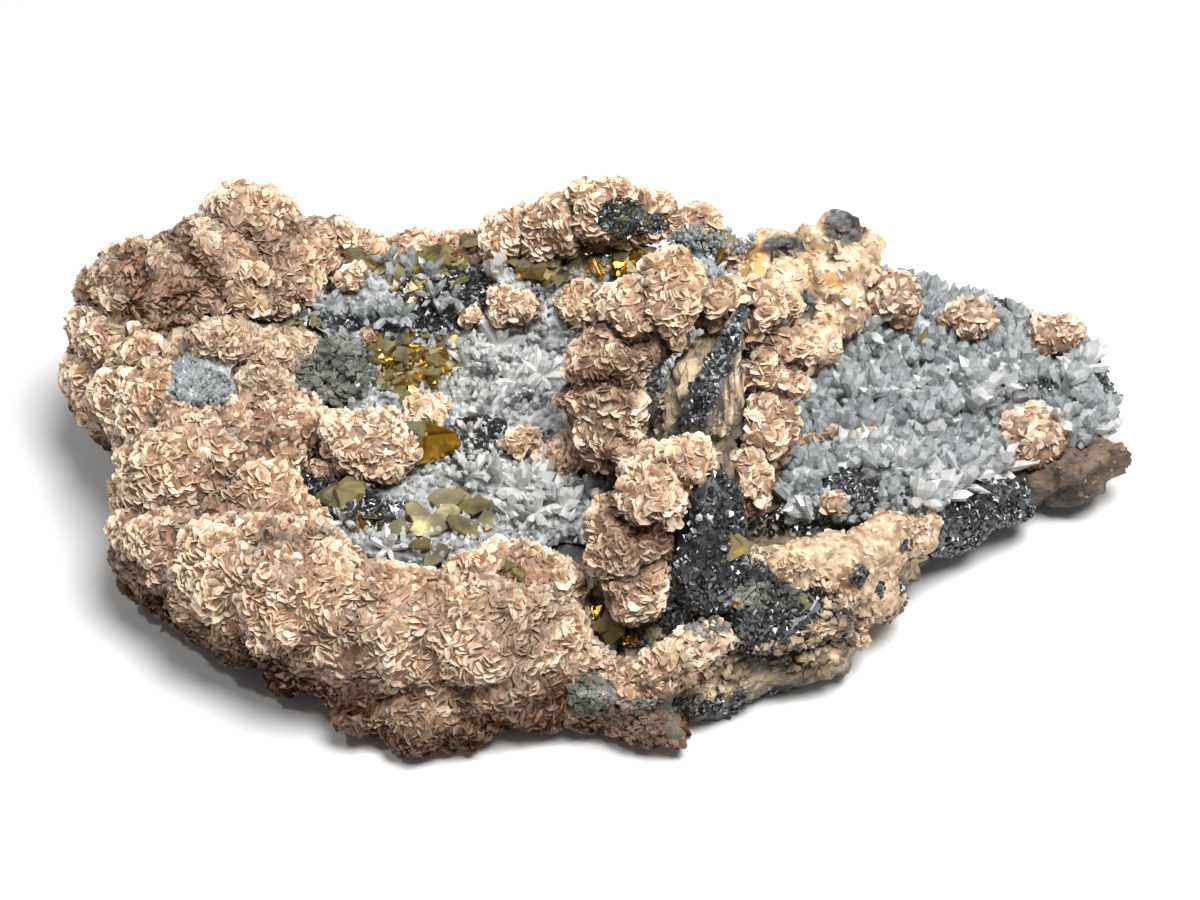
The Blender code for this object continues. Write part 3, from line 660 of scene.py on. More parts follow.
# How far the skin stands out or in because of the balls, and how deep in a fold each point lies.
def foldsAt(places, found):
    s = rosettes
    centres = np.array([centre for centre, _ in found])
    radii = np.array([radius for _, radius in found])
    bend = [[noise.noise(Vector(p) / s["warp"][0] + Vector((shift, 0, 0))) for shift in (0, 9.3, 17.7)]
            for p in places]
    warped = places + np.array(bend) * s["warp"][1]
    reach = np.linalg.norm(warped[:, None, :] - centres[None], axis=2) / radii
    near = np.partition(reach, 1, axis=1)[:, :2]
    for i in np.nonzero(near[:, 0] > s["strayFrom"])[0]:
        distances, _ = noise.voronoi(Vector(places[i]) / s["strayBalls"])
        near[i] = distances[0] * s["strayScale"], distances[1] * s["strayScale"]
    fold = np.exp(-((near[:, 1] - near[:, 0]) / s["valleyWidth"]) ** 2)
    # the front roll and the left one are smoother than the rest
    (front, frontDepth), (left, leftDepth) = s["frontRoll"], s["leftRoll"]
    seen = seenAt(places)
    depth = np.where(seen[:, 1] > front, frontDepth, np.where(seen[:, 0] < left, leftDepth, 1.0))
    return depth * (s["bulge"] * np.maximum(0.0, 1 - near[:, 0] ** 2) - s["valley"] * fold), depth * fold


# Painted shade: darker brown in the folds, low down near the table and on the flanks that face away from
# above.
def paintedShadeAt(places, outward, fold):
    flank = np.clip(rosettes["flank"] - outward[:, 2], 0.0, 1.0)
    atTable, fade = rosettes["low"]
    return np.clip(flank + np.clip(atTable - places[:, 2] / fade, 0.0, 1.0) + fold, 0.0, 1.0)


# How far places lie inside ellipses of the front view, 0 to 1, over an edge as wide as edge says.
def inPatches(points, patches, edge=0.2):
    seen = seenAt(points)
    share = np.zeros(len(points))
    for x, y, halfWidth, halfHeight in patches:
        reach = np.hypot((seen[:, 0] - x) / halfWidth, (seen[:, 1] - y) / halfHeight)
        share = np.maximum(share, np.clip((1.1 - reach) / edge, 0.0, 1.0))
    return share


# Where one blade stands, with a basis for its shape. Each rosette has a pattern that its blades share:
# along its rays, round it, or at one angle.
def bladeAt(spot, out, h, rng):
    s = rosettes
    high, heart = lumpAt(spot, h["lump"][0])
    ray = spot - heart
    ray = ray - out * ray.dot(out)
    ray = ray.normalized() if ray.length > 0.05 else out.orthogonal().normalized()
    pattern = random.Random(f"{heart.x:.2f}{heart.y:.2f}{heart.z:.2f}").random()
    turn = 0 if pattern < s["patterns"][0] else pi / 2 if pattern < s["patterns"][1] else 3 * pattern
    along = turned(ray, out.cross(ray), turn + rng.gauss(0, s["wander"]))
    up = turned(out, along.cross(out), rng.gauss(0, h["lean"]))
    plain, onLump, wander = s["size"]
    size = plain + onLump * high + wander * noise.noise(spot / s["sizeOver"])
    radius = rng.uniform(*h["radius"]) * size
    jitter = Vector([rng.uniform(-s["jitter"], s["jitter"]) * h["voxel"] for _ in range(3)])
    origin = spot + jitter - out * out.dot(jitter) + up * radius * h["lift"]
    spin = rng.uniform(-s["spin"], s["spin"])
    return origin, np.array((turned(along, up, spin), turned(up, -along, spin), along.cross(up))).T * radius


# Replaces a node by its own skin, swollen into lumps and balls, with blades all over it.
def growRosettes(nodeName, habit, crust, lowCrust, blades, found, grey):
    rng = random.Random(nodeName)
    s, h = rosettes, habits[habit]
    size, height = h["lump"]
    points, normals, faces = evenSkin(nodeName, h["voxel"], s["smoothRounds"])
    swell = np.array([lumpAt(point, size)[0] * height - h["inset"] for point in points])
    fold, rise, window = np.zeros(len(points)), np.zeros(len(points)), np.zeros(len(points))
    if nodeName in ("rhodochrosite_rim", "rhodochrosite_ridge", "rhodochrosite_back_knot"):
        swellMore, fold = foldsAt(points, found)
        swell += swellMore
    swell[points[:, 2] < s["underside"]] = -h["inset"]
    points += normals * swell[:, None]
    # Painted shade on the skin: darker brown in the folds, low down, on the flanks facing away from above and
    # on the sides that turn down to the hollow. The knot takes its dark sphalerite windows and orange stain
    # here instead.
    strength, edge = s["brown"]
    stain = np.clip(paintedShadeAt(points, normals, fold) + strength * inPatches(points, shadedSides, edge), 0.0, 1.0)
    if habit == "foot":
        stain *= s["footStain"]
    if habit == "knot":
        stain, rise = inPatches(points, knotDark), inPatches(points, knotOrange)
    if nodeName == "rhodochrosite_rim":
        hollow = inPatches(points, hollowZone)
        window = np.maximum(inPatches(points, windowZone + backZone), hollow)
        points -= normals * (window + s["hollowDepth"] * hollow)[:, None]
        start, length = s["leftFrom"]
        points[:, 0] -= s["leftPush"] * np.clip((start - points[:, 0]) / length, 0.0, 1.0)

    # no blades grow in a band of heights, which is empty for most habits
    bandLow, bandHigh = h.get("bareBand", (0.0, -1.0))

    def bladed(height):
        return not bandLow <= height <= bandHigh
    bare = np.array([habit == "foot" or not bladed(height) for height in points[:, 2]])
    size, height = s["bareRough"]
    points[bare] += normals[bare] * (ruggedness(points[bare], size) * height)[:, None]
    skinKinds = [grey if window[face[0]] > 0.5 else crust if bladed(points[face[0]][2]) else lowCrust
                 for face in faces]
    centres, outward = facesCentres(points, faces)
    # each blade takes the painted shade of the skin face it grows on, and on the knot its dark windows
    bladeShadeAndOre = np.array([stain[list(face)].mean() for face in faces])
    keep = [i for i in uncovered(centres, outward, (nodeName,), s["clearAbove"])
            if centres[i][2] > s["lowestBlade"] and bladed(centres[i][2]) and outward[i][2] > s["steepest"]
            and window[faces[i][0]] < 0.5 and rng.random() < h["share"]]
    halves = [keep[start:start + s["mostBlades"]] for start in range(0, len(keep), s["mostBlades"])]
    for part, half in enumerate(halves):
        parts = [] if part else [(points, faces, rise, skinKinds, stain)]
        groups = {}
        for i in half:
            groups.setdefault(rng.randrange(s["shapes"]), []).append(i)
        for group in sorted(groups):
            shape = bladeShape(random.Random(group + 100), h["thick"])
            stands = [bladeAt(Vector(centres[i]), Vector(outward[i]), h, rng) for i in groups[group]]
            origins, bases = [np.array(each) for each in zip(*stands)]
            parts.append((*copies(shape, origins, bases), blades,
                          np.repeat(bladeShadeAndOre[groups[group]], len(shape[0]))))
        addPiece(f"{nodeName}_rosettes" + ("_more" if part else ""), parts,
                 () if part else (nodeName,), smooth=50)


# Rosettes that spread over the rock between the rolls: place in the front view, half width and half
# height, how many blades, their radius and the height of the heap in mm.
bridges = (
    (282, 352, 44, 22, 620, 1.15, 2.2), (225, 340, 40, 20, 520, 1.15, 1.8),
    (262, 378, 30, 12, 240, 1.1, 1.0), (326, 470, 16, 10, 110, 1.0, 1.0), (366, 336, 9, 8, 90, 0.8, 1.6),
    (757, 556, 16, 10, 90, 0.8, 0.8), (792, 566, 20, 9, 110, 0.8, 1.0), (824, 584, 12, 13, 120, 0.8, 2.0),
    (846, 600, 14, 8, 80, 0.8, 1.2), (820, 628, 16, 7, 70, 0.9, 1.0), (862, 634, 16, 14, 130, 0.8, 1.6),
    (922, 528, 14, 10, 60, 0.6, 0.8),
)

bridgeBlades = {
    "rise": 0.5,  # how much they turn up from the rock's normal
    "stray": 0.4,
    "size": (0.6, 1.25),  # share of the listed radius
    "heap": (0.3, 1.0),  # share of the listed height
    "stain": 0.5,  # painted shade at the bottom of the heap
    "thick": 0.2,
}


def growBridges(blades):
    rng = random.Random("bridges")
    s = bridgeBlades
    origins, bases, shadeAndOreValues = [], [], []
    for x, y, halfWidth, halfHeight, count, radius, height in bridges:
        for spot, normal, _, reach in landings(x, y, halfWidth, halfHeight, count, rng):
            normal = (normal + Vector((0, 0, s["rise"]))).normalized()
            way = (normal + strayVector(rng, s["stray"])).normalized()
            along = way.cross(strayVector(rng)).normalized()
            size = radius * rng.uniform(*s["size"])
            lift = height * (1 - reach ** 2) * rng.uniform(*s["heap"])
            origins.append(spot + normal * lift)
            bases.append(np.array((along, way, along.cross(way))).T * size)
            # painted shade, darker the lower a blade lies in its heap
            shadeAndOreValues.append(s["stain"] * (1 - lift / (height + 0.1)))
    parts = []
    for group in range(rosettes["shapes"]):
        shape = bladeShape(random.Random(group + 100), s["thick"])
        lot = slice(group, None, rosettes["shapes"])
        parts.append((*copies(shape, np.array(origins[lot]), np.array(bases[lot])), blades,
                      np.repeat(np.array(shadeAndOreValues[lot]), len(shape[0]))))
    addPiece("rhodochrosite_bridges", parts)


def growRhodochrosite(grey, knotRock):
    # In each blade material the fourth colour is painted light on the blade tips and the fifth painted shade
    # at their roots.
    pink = bladeMaterial("rhodochrosite blades, pale pink", "#dab997", "#edd0b0", "#f7e4cb", "#fff5e6",
                         "#c09a7a", "#ebc7a2")
    tan = bladeMaterial("rhodochrosite blades, tan", "#c2a188", "#dcbea3", "#eed9c1", "#f8ead8",
                        "#a08069", "#dcbfa4")
    # the foot's blades are dark brown, darkened as painted shade where the foot lies low under the rolls
    shaded = bladeMaterial("rhodochrosite blades, weathered", "#6a5543", "#836d58", "#9a846e",
                              "#ad9781", "#5a4737", "#7b6551")
    cream = bladeMaterial("rhodochrosite blades, cream", "#cfa987", "#e6c8a8", "#f4e2ca", "#fbf0e0",
                          "#9c7a58", "#e0c094")
    # the crusts' dark colours are painted shade for the gaps between the blades
    pinkCrust = crustMaterial("massive rhodochrosite", "#6b4c37", "#ab8365")
    tanCrust = crustMaterial("massive rhodochrosite, tan", "#644935", "#ab8869")
    creamCrust = crustMaterial("cream altered crust", "#8f6f50", "#dfc2a2")
    found = findBalls()
    cliff = rockMaterial("pitted cream rock", "#6b5f4c", "#d9c3a0", "#a8916f")
    # the foot's rock: a brown crust, painted darker as painted shade where the foot lies low under the rolls
    footRock = rockMaterial("brown weathered crust", "#33271b", "#8d7863", "#5e4d3d")
    # what a node's name holds, its habit, its skin, its skin below the blades and its blades
    looks = {
        "rhodochrosite": ("pink", pinkCrust, pinkCrust, pink),
        "nodule": ("small", pinkCrust, pinkCrust, pink),
        "bed": ("tan", tanCrust, tanCrust, tan),
        "right_foot": ("foot", footRock, footRock, shaded),
        "back_knot": ("knot", knotRock, knotRock, cream),
        "front_band": ("cream", creamCrust, creamCrust, cream),
        "pocket_lip": ("lip", pinkCrust, cliff, pink),
    }
    for nodeName in sorted(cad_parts):
        if nodeName.startswith("rhodochrosite"):
            look = [kind for word, kind in looks.items() if word in nodeName][-1]
            growRosettes(nodeName, *look, found, grey)
    growBridges(pink)


# Quartz points over the druses.
druse = {
    "spacing": {"quartz_floor": 1.5, "quartz_bed": 1.8, "quartz_window": 2.0},  # mm2 per point
    "length": {"quartz_floor": (0.9, 2.0), "quartz_bed": (1.6, 3.8), "quartz_window": (0.8, 1.6)},
    "slender": (0.22, 0.38),  # radius as a share of the length
    "rise": 0.7,  # how much the points turn up from the crust's own normal
    "stray": 0.42,
    "fan": (5.0, 0.9),  # mm over which neighbouring points fan out together, and how much
    "root": 0.25,  # share of the length below the crust
    "clearance": 2.3,  # mm kept free round a flower on the floor
    "clearAbove": 1.5,  # mm of free space that a point needs
    "steepest": -0.25,  # how far down the crust may look
    "lowest": 2.0,  # mm
    "inWindow": 260,  # points in each patch of the quartz window
    "shapes": 5,
}

# Where black sphalerite shows with no quartz carpet, in the front view. The long band along the step at the
# back of the hollow is darkened the same way as painted shade, where the step lies in shadow.
darkZones = (
    (400, 322, 104, 10), (465, 290, 36, 26), (305, 292, 28, 18), (478, 432, 34, 16), (345, 500, 34, 26),
    (388, 518, 36, 14), (604, 455, 18, 24), (645, 370, 20, 32), (570, 452, 14, 12), (425, 300, 30, 14),
    (318, 472, 18, 18), (950, 266, 26, 9), (1010, 303, 22, 10), (1110, 378, 22, 24), (920, 369, 30, 6),
    (852, 488, 30, 20), (1045, 386, 20, 7),
)

# Crystals that fan out from one place like petals: the place in the front view, how many, length
# in mm, and how far the outer ones lean out.
flowers = (
    (500, 345, 9, 5.0, 1.15), (467, 363, 5, 4.4, 0.9), (541, 375, 8, 4.4, 1.1), (560, 382, 9, 4.6, 1.1),
    (523, 398, 2, 5.0, 0.3), (478, 408, 4, 3.4, 0.5), (490, 402, 3, 3.6, 0.4), (496, 480, 2, 5.6, 0.3),
    (472, 474, 6, 4.0, 0.8), (525, 492, 9, 5.2, 1.0), (548, 482, 8, 5.0, 1.0), (563, 508, 8, 4.0, 0.9),
    (590, 490, 5, 4.6, 0.8), (536, 515, 7, 4.0, 1.0), (510, 512, 5, 3.6, 0.8), (494, 275, 5, 4.4, 0.4),
    (350, 410, 1, 3.6, 0.2), (401, 521, 6, 3.0, 1.0), (388, 548, 8, 3.0, 1.1), (345, 520, 6, 3.0, 1.0),
    (575, 430, 6, 3.8, 1.0), (532, 402, 5, 4.4, 0.6), (552, 413, 4, 3.8, 0.7), (470, 432, 5, 2.6, 0.9),
    (510, 380, 6, 3.0, 0.9), (1000, 470, 9, 6.0, 0.9), (985, 478, 6, 5.4, 0.8), (940, 495, 8, 5.0, 0.9),
    (958, 488, 7, 5.2, 0.9), (922, 500, 6, 4.6, 0.8), (980, 392, 4, 6.4, 0.6), (1082, 368, 7, 5.0, 1.0),
    (850, 452, 6, 4.4, 0.8), (874, 448, 6, 4.2, 0.8), (1100, 432, 5, 3.6, 0.9), (900, 470, 6, 4.6, 0.8),
    (930, 440, 5, 4.0, 0.8), (1060, 420, 5, 4.0, 0.9), (905, 402, 5, 3.8, 0.8), (870, 330, 5, 3.8, 0.9),
)

# The same in the shade at the back of the hollow, where they are grey: they take the greyer quartz as painted
# shade.
greyFlowers = (
    (408, 270, 5, 4.0, 0.8), (365, 318, 5, 3.4, 0.8), (404, 316, 9, 3.2, 1.0), (433, 298, 8, 3.4, 1.0),
    (388, 262, 5, 4.0, 0.8), (430, 275, 6, 3.4, 0.9), (334, 363, 7, 3.2, 1.2), (345, 350, 6, 2.8, 1.1),
    (325, 306, 6, 3.0, 1.0), (385, 318, 6, 3.0, 1.0), (452, 300, 6, 3.0, 0.9),
)


# A quartz point along z: a six-sided prism with three large and three small end faces.
def pointShape(rng):
    points, edges, tris = [], [], []
    shoulder = rng.uniform(0.52, 0.68)
    for low in (True, False):
        for i in range(6):
            angle = pi * i / 3 + rng.uniform(-0.1, 0.1)
            wide = rng.uniform(0.86, 1.08) * (0.85 if low else 1.0)
            high = 0.0 if low else shoulder + (0.1 if i % 2 else 0.0) + rng.uniform(-0.03, 0.03)
            points.append((wide * cos(angle), wide * sin(angle), high))
            edges.append(high)
    points += [(rng.uniform(-0.25, 0.25), rng.uniform(-0.25, 0.25), 1.0), (0, 0, 0)]
    edges += [1.0, 0.0]
    for i in range(6):
        j = (i + 1) % 6
        tris += [(i, j, j + 6), (i, j + 6, i + 6), (i + 6, j + 6, 12), (j, i, 13)]
    return np.array(points), np.array(tris), np.array(edges)


# Points spread over a node's triangles by area, with the normal of each.
def scatter(nodeName, areaEach, rng):
    bm = weldedMesh(nodeName)
    spots, normals = [], []
    for face in bm.faces:
        a, b, c = [v.co / mm for v in face.verts[:3]]
        share = face.calc_area() / mm ** 2 / areaEach
        for _ in range(int(share) + (rng.random() < share % 1)):
            u, v = rng.random(), rng.random()
            if u + v > 1:
                u, v = 1 - u, 1 - v
            spots.append(a + (b - a) * u + (c - a) * v)
            normals.append(face.normal.copy())
    bm.free()
    return np.array(spots), np.array(normals)


# Crystals that stand at their origins: a basis for each, turned at random about its own length.
def standing(origins, ways, radii, lengths, rng):
    bases = []
    for way, radius, length in zip(ways, radii, lengths):
        side = way.orthogonal().normalized()
        x = turned(side, way.cross(side), rng.uniform(0, pi / 3))
        bases.append(np.array((x * radius, way.cross(x) * radius, way * length)).T)
    return np.array(origins), np.array(bases)


def growPoints(nodeName, pieceName, material, hearts):
    rng = random.Random(pieceName)
    s = druse
    spots, normals = scatter(nodeName, s["spacing"][nodeName], rng)
    keep = uncovered(spots, normals, (nodeName,), s["clearAbove"])
    keep = [i for i in keep if normals[i][2] > s["steepest"] and spots[i][2] > s["lowest"]]
    # no points in the dark zones: sphalerite, and the painted shade along the step
    dark = inPatches(spots, darkZones)
    keep = [i for i in keep if dark[i] < 0.5 and (nodeName != "quartz_floor" or
            np.min(np.linalg.norm(hearts - spots[i], axis=1)) > s["clearance"])]
    if nodeName == "quartz_window":
        found = [place for patch in windowZone + backZone
                 for place in patchPlaces((*patch, s["inWindow"]), rng)]
        spots = np.array([spot for spot, _, _ in found])
        normals = np.array([normal for _, normal, _ in found])
        keep = range(len(spots))
    parts = []
    fanSize, fanOut = s["fan"]
    for group in range(s["shapes"]):
        shape = pointShape(random.Random(group + 40))
        origins, ways, radii, lengths = [], [], [], []
        for i in keep[group::s["shapes"]]:
            spot = Vector(spots[i])
            stray = strayVector(rng, s["stray"])
            near = spot / fanSize
            fan = Vector((noise.noise(near), noise.noise(near + Vector((9, 0, 0))), 0)) * fanOut
            way = (Vector(normals[i]) + Vector((0, 0, s["rise"])) + stray + fan).normalized()
            length = rng.uniform(*s["length"][nodeName])
            origins.append(spot - way * length * s["root"])
            ways.append(way)
            lengths.append(length * (1 + s["root"]))
            radii.append(length * rng.uniform(*s["slender"]))
        parts.append((*copies(shape, *standing(origins, ways, radii, lengths, rng)), material))
    addPiece(pieceName, parts)


fans = {
    "axis": (0.5, 0.3, 0.55),  # shares of the crust's normal, the way to the eye and straight up
    "upright": 2,  # crystals in the middle, less leaning
    "stray": 0.25,  # radians round the axis
    "outerLean": (0.75, 1.05),  # shares of the listed lean
    "innerLean": (0.0, 0.4),
    "size": (0.8, 1.3),  # share of the listed length
    "apart": 0.5,  # mm between the roots
    "root": (0.3, 1.12),  # mm below the crust, and the length with what is there
    "slender": (0.16, 0.23),  # radius as a share of the length
    "shapes": 3,
}


def growFlowers(name, table, material):
    rng = random.Random(name)
    s = fans
    origins, ways, radii, lengths = [], [], [], []
    toEye = -lookVector()
    for x, y, count, length, lean in table:
        found = placeInView(x, y)
        if found is None or found[2].startswith("rhodochrosite"):
            print(f"no quartz below the flower at {x}, {y}")
            continue
        spot, normal, _ = found
        alongNormal, alongSight, alongUp = s["axis"]
        axis = (normal * alongNormal + toEye * alongSight + Vector((0, 0, alongUp))).normalized()
        side = axis.orthogonal().normalized()
        for i in range(count):
            angle = tau * i / max(count - s["upright"], 1) + rng.uniform(-s["stray"], s["stray"])
            out = turned(side, axis.cross(side), angle)
            tilt = lean * rng.uniform(*s["outerLean" if i < count - s["upright"] else "innerLean"])
            way = turned(axis, out, tilt)
            size = length * rng.uniform(*s["size"])
            origins.append(spot + out * rng.uniform(0.0, s["apart"]) - normal * s["root"][0])
            ways.append(way)
            lengths.append(size * s["root"][1])
            radii.append(size * rng.uniform(*s["slender"]))
    parts = []
    for group in range(s["shapes"]):
        chosen = [lot[group::s["shapes"]] for lot in (origins, ways, radii, lengths)]
        parts.append((*copies(pointShape(random.Random(group)), *standing(*chosen, rng)), material))
    addPiece(name, parts)
    return np.array(origins)


# Grains of sphalerite and pyrite.
grains = {
    "areaEach": 0.6,  # mm2 of a sphalerite mass for each grain
    "radius": (0.35, 0.8),
    "inZones": (0.26, 0.6),  # grains for each square of the front view in a dark zone, and radius
    "size": (0.7, 1.3),  # share of a patch's radius
    "proud": 0.25,  # share of its radius that a grain stands out more than half
    "clearAbove": 1.0,  # mm of free space that a grain needs
    "shapes": 6,
}

# Patches of sphalerite: place in the front view, half width and half height, count, radius in mm.
sphaleritePatches = (
    (440, 290, 50, 26, 170, 0.6), (285, 295, 30, 20, 70, 0.5), (465, 450, 24, 26, 110, 0.6),
    (410, 345, 22, 15, 45, 0.5), (740, 702, 110, 14, 260, 0.5), (870, 490, 38, 30, 240, 0.6),
    (800, 522, 90, 13, 200, 0.55), (1000, 392, 30, 12, 50, 0.5), (920, 388, 34, 10, 80, 0.5),
    (1000, 505, 62, 26, 220, 0.6), (1112, 370, 24, 38, 150, 0.5), (880, 610, 30, 40, 120, 0.5),
    (742, 314, 7, 10, 16, 0.4), (732, 340, 10, 14, 40, 0.45), (718, 366, 13, 16, 60, 0.5),
    (704, 394, 15, 16, 70, 0.5), (692, 418, 14, 10, 40, 0.5), (665, 345, 24, 18, 80, 0.5),
    # the three here fill the pocket at the front right: ore, set thick there as painted shade for its dark
    # hollow
    (640, 640, 40, 12, 120, 0.5), (655, 592, 14, 26, 90, 0.5), (674, 615, 24, 34, 260, 0.6),
    (622, 218, 24, 18, 240, 0.65, "on top"), (652, 224, 15, 9, 90, 0.6, "on top"),
    (540, 300, 30, 20, 60, 0.5), (815, 541, 7, 4, 14, 0.4, "on top"), (858, 574, 9, 10, 60, 0.5, "on top"),
    (908, 544, 8, 6, 24, 0.4, "on top"), (890, 590, 14, 14, 90, 0.5, "on top"), (1075, 390, 40, 14, 60, 0.5),
    (990, 285, 30, 14, 50, 0.5),
)

# Chalcopyrite: place in the front view, half width and half height, count, size in mm.
platePatches = (
    (418, 365, 46, 36, 80, 1.4), (350, 262, 22, 16, 9, 2.2), (400, 280, 50, 20, 12, 2.0),
    (440, 262, 30, 22, 8, 2.0), (465, 240, 14, 10, 4, 2.4), (300, 325, 20, 16, 9, 1.5),
    (555, 264, 58, 12, 20, 2.1), (622, 262, 58, 12, 16, 2.0), (728, 246, 10, 8, 4, 1.9),
    (700, 232, 16, 8, 4, 1.5), (372, 525, 20, 10, 6, 1.3), (345, 490, 18, 14, 5, 2.6),
    (515, 568, 10, 8, 3, 1.3), (600, 622, 36, 20, 13, 2.7), (655, 600, 12, 10, 5, 1.8),
    (840, 408, 12, 6, 2, 2.2), (731, 548, 2, 4, 2, 2.5), (735, 600, 4, 4, 1, 1.6), (806, 598, 5, 5, 2, 1.6),
    (930, 340, 10, 6, 2, 1.6),
)

# The same, fresh and golden.
goldPatches = (
    (288, 333, 5, 3, 3, 1.1), (412, 302, 5, 6, 3, 1.3), (520, 272, 5, 3, 2, 1.3),
    (398, 372, 18, 14, 16, 1.2), (430, 355, 22, 16, 12, 1.2), (368, 527, 7, 4, 3, 1.0),
    (628, 640, 9, 5, 12, 0.8), (614, 268, 12, 5, 5, 1.5), (378, 345, 8, 14, 5, 1.2),
    (600, 615, 14, 8, 4, 1.5),
)

# Pyrite and small brassy grains in the hollow at the back.
pyritePatches = (
    (624, 219, 22, 16, 90, 0.5, "on top"), (652, 224, 14, 8, 30, 0.45, "on top"), (942, 268, 18, 8, 40, 0.4),
)


# An angular chip: the hull of a few points on a ball.
def grainShape(rng):
    return hullOf([strayVector(rng).normalized() * rng.uniform(0.85, 1.1) for _ in range(10)])


# A chalcopyrite wedge: three-sided, with blunt corners and one face much larger than the others.
def wedgeShape(rng):
    points = []
    for high, wide in ((-0.16, 1.0), (0.16, rng.uniform(0.55, 0.85))):
        for i in range(3):
            for turn in (-0.2, 0.2):
                angle = tau * i / 3 + turn
                points.append((wide * cos(angle), wide * sin(angle), high + rng.uniform(-0.04, 0.04)))
    tris = ringSides(6) + [(0, i + 1, i) for i in range(1, 5)] + [(6, i, i + 1) for i in range(7, 11)]
    return np.array(points), np.array(tris), np.zeros(12)


def randomBasis(rng, radius):
    x = strayVector(rng).normalized()
    y = x.orthogonal().normalized()
    z = x.cross(y)
    return np.array((x * radius * rng.uniform(0.8, 1.2), y * radius, z * radius * rng.uniform(0.8, 1.2))).T


# The landings of a whole patch that lie clear of the table.
def patchPlaces(patch, rng):
    return [place[:3] for place in landings(*patch[:5], rng) if place[0].z > clearOfTable]


def growGrains(name, patches, masses, material):
    rng = random.Random(name)
    s = grains
    places = []
    each, radius = s["inZones"]
    # grains in the dark zones: sphalerite, and along the shaded step at the back of the hollow painted shade
    zones = [(x, y, wide, high, int(wide * high * each), radius)
             for x, y, wide, high in darkZones] if masses else []
    for patch in (*patches, *zones):
        for spot, normal, owner in patchPlaces(patch, rng):
            if not owner.startswith("rhodochrosite") or len(patch) > 6:
                places.append((spot, normal, patch[5] * rng.uniform(*s["size"])))
    for nodeName in masses:
        spots, normals = scatter(nodeName, s["areaEach"], rng)
        for i in uncovered(spots, normals, (nodeName,), s["clearAbove"]):
            if spots[i][2] > clearOfTable:
                places.append((Vector(spots[i]), Vector(normals[i]), rng.uniform(*s["radius"])))
    parts = []
    for group in range(s["shapes"]):
        shape = grainShape(random.Random(group))
        chosen = places[group::s["shapes"]]
        origins = np.array([spot + normal * size * s["proud"] for spot, normal, size in chosen])
        bases = np.array([randomBasis(rng, size) for _, _, size in chosen])
        parts.append((*copies(shape, origins, bases), material))
    addPiece(name, parts)


# Lumps of dull grey ore chips: place in the front view, half width and half height, how many, chip
# radius and height of the lump in mm.
lumps = (
    (334, 372, 42, 34, 460, 0.95, 3.0), (592, 694, 22, 20, 200, 0.8, 1.2), (765, 598, 44, 14, 200, 0.7, 0.6),
    (705, 628, 22, 12, 90, 0.7, 0.5), (905, 640, 22, 22, 120, 0.6, 0.4), (650, 706, 40, 10, 110, 0.5, 0.3),
)


# Broken cream rock on the cliff at the front right and brown crust at its foot, the same way.
creamChips = (
    (700, 676, 70, 18, 70, 0.8, 0.1), (800, 655, 48, 20, 80, 0.8, 0.2), (848, 612, 30, 22, 50, 0.9, 0.4),
    (655, 410, 14, 26, 50, 0.6, 0.2),
)
brownChips = ((632, 722, 34, 18, 260, 0.8, 0.5), (850, 630, 26, 18, 100, 0.8, 0.5))

chips = {
    "size": (0.6, 1.3),  # share of the listed radius
    "heap": (0.6, 1.0),  # share of the listed height
    "proud": 0.2,  # share of its radius that a chip stands out more than half
    "shapes": 6,
}


def growLumps(name, table, material):
    rng = random.Random(name)
    s = chips
    origins, bases = [], []
    for x, y, halfWidth, halfHeight, count, radius, height in table:
        for spot, normal, _, reach in landings(x, y, halfWidth, halfHeight, count, rng):
            if spot.z > clearOfTable:
                size = radius * rng.uniform(*s["size"])
                lift = height * (1 - reach ** 2) * rng.uniform(*s["heap"])
                origins.append(spot + normal * (lift + size * s["proud"]))
                bases.append(randomBasis(rng, size))
    parts = []
    for group in range(s["shapes"]):
        lot = slice(group, None, s["shapes"])
        shape = grainShape(random.Random(group + 60))
        parts.append((*copies(shape, np.array(origins[lot]), np.array(bases[lot])), material))
    addPiece(name, parts)


plates = {
    "mostOnRolls": 4,  # a patch with more plates than this has none on rhodochrosite
    "size": (0.7, 1.25),  # share of the listed size
    "up": (0.6, -0.25, 0.8),  # how much they look along the rock's normal, to the front and up
    "tilt": 0.45,
    "proud": 0.15,  # share of its size that a plate stands out
}


def growPlates(name, patches, material):
    rng = random.Random(name)
    s = plates
    alongNormal, *alongFixed = s["up"]
    parts = []
    for group, patch in enumerate(patches):
        shape = wedgeShape(random.Random(group))
        origins, bases = [], []
        for spot, normal, owner in patchPlaces(patch, rng):
            if owner.startswith("rhodochrosite") and patch[4] > s["mostOnRolls"]:
                continue
            size = patch[5] * rng.uniform(*s["size"])
            tilt = strayVector(rng, s["tilt"])
            way = (normal * alongNormal + Vector((0, *alongFixed)) + tilt).normalized()
            origin, basis = standing([spot + normal * size * s["proud"]], [way], [size], [size], rng)
            turn = rng.uniform(0, tau)
            spin = np.array(((cos(turn), -sin(turn), 0), (sin(turn), cos(turn), 0), (0, 0, 1)))
            origins.append(origin[0])
            bases.append(basis[0] @ spin)
        parts.append((*copies(shape, np.array(origins), np.array(bases)), material))
    addPiece(name, parts)


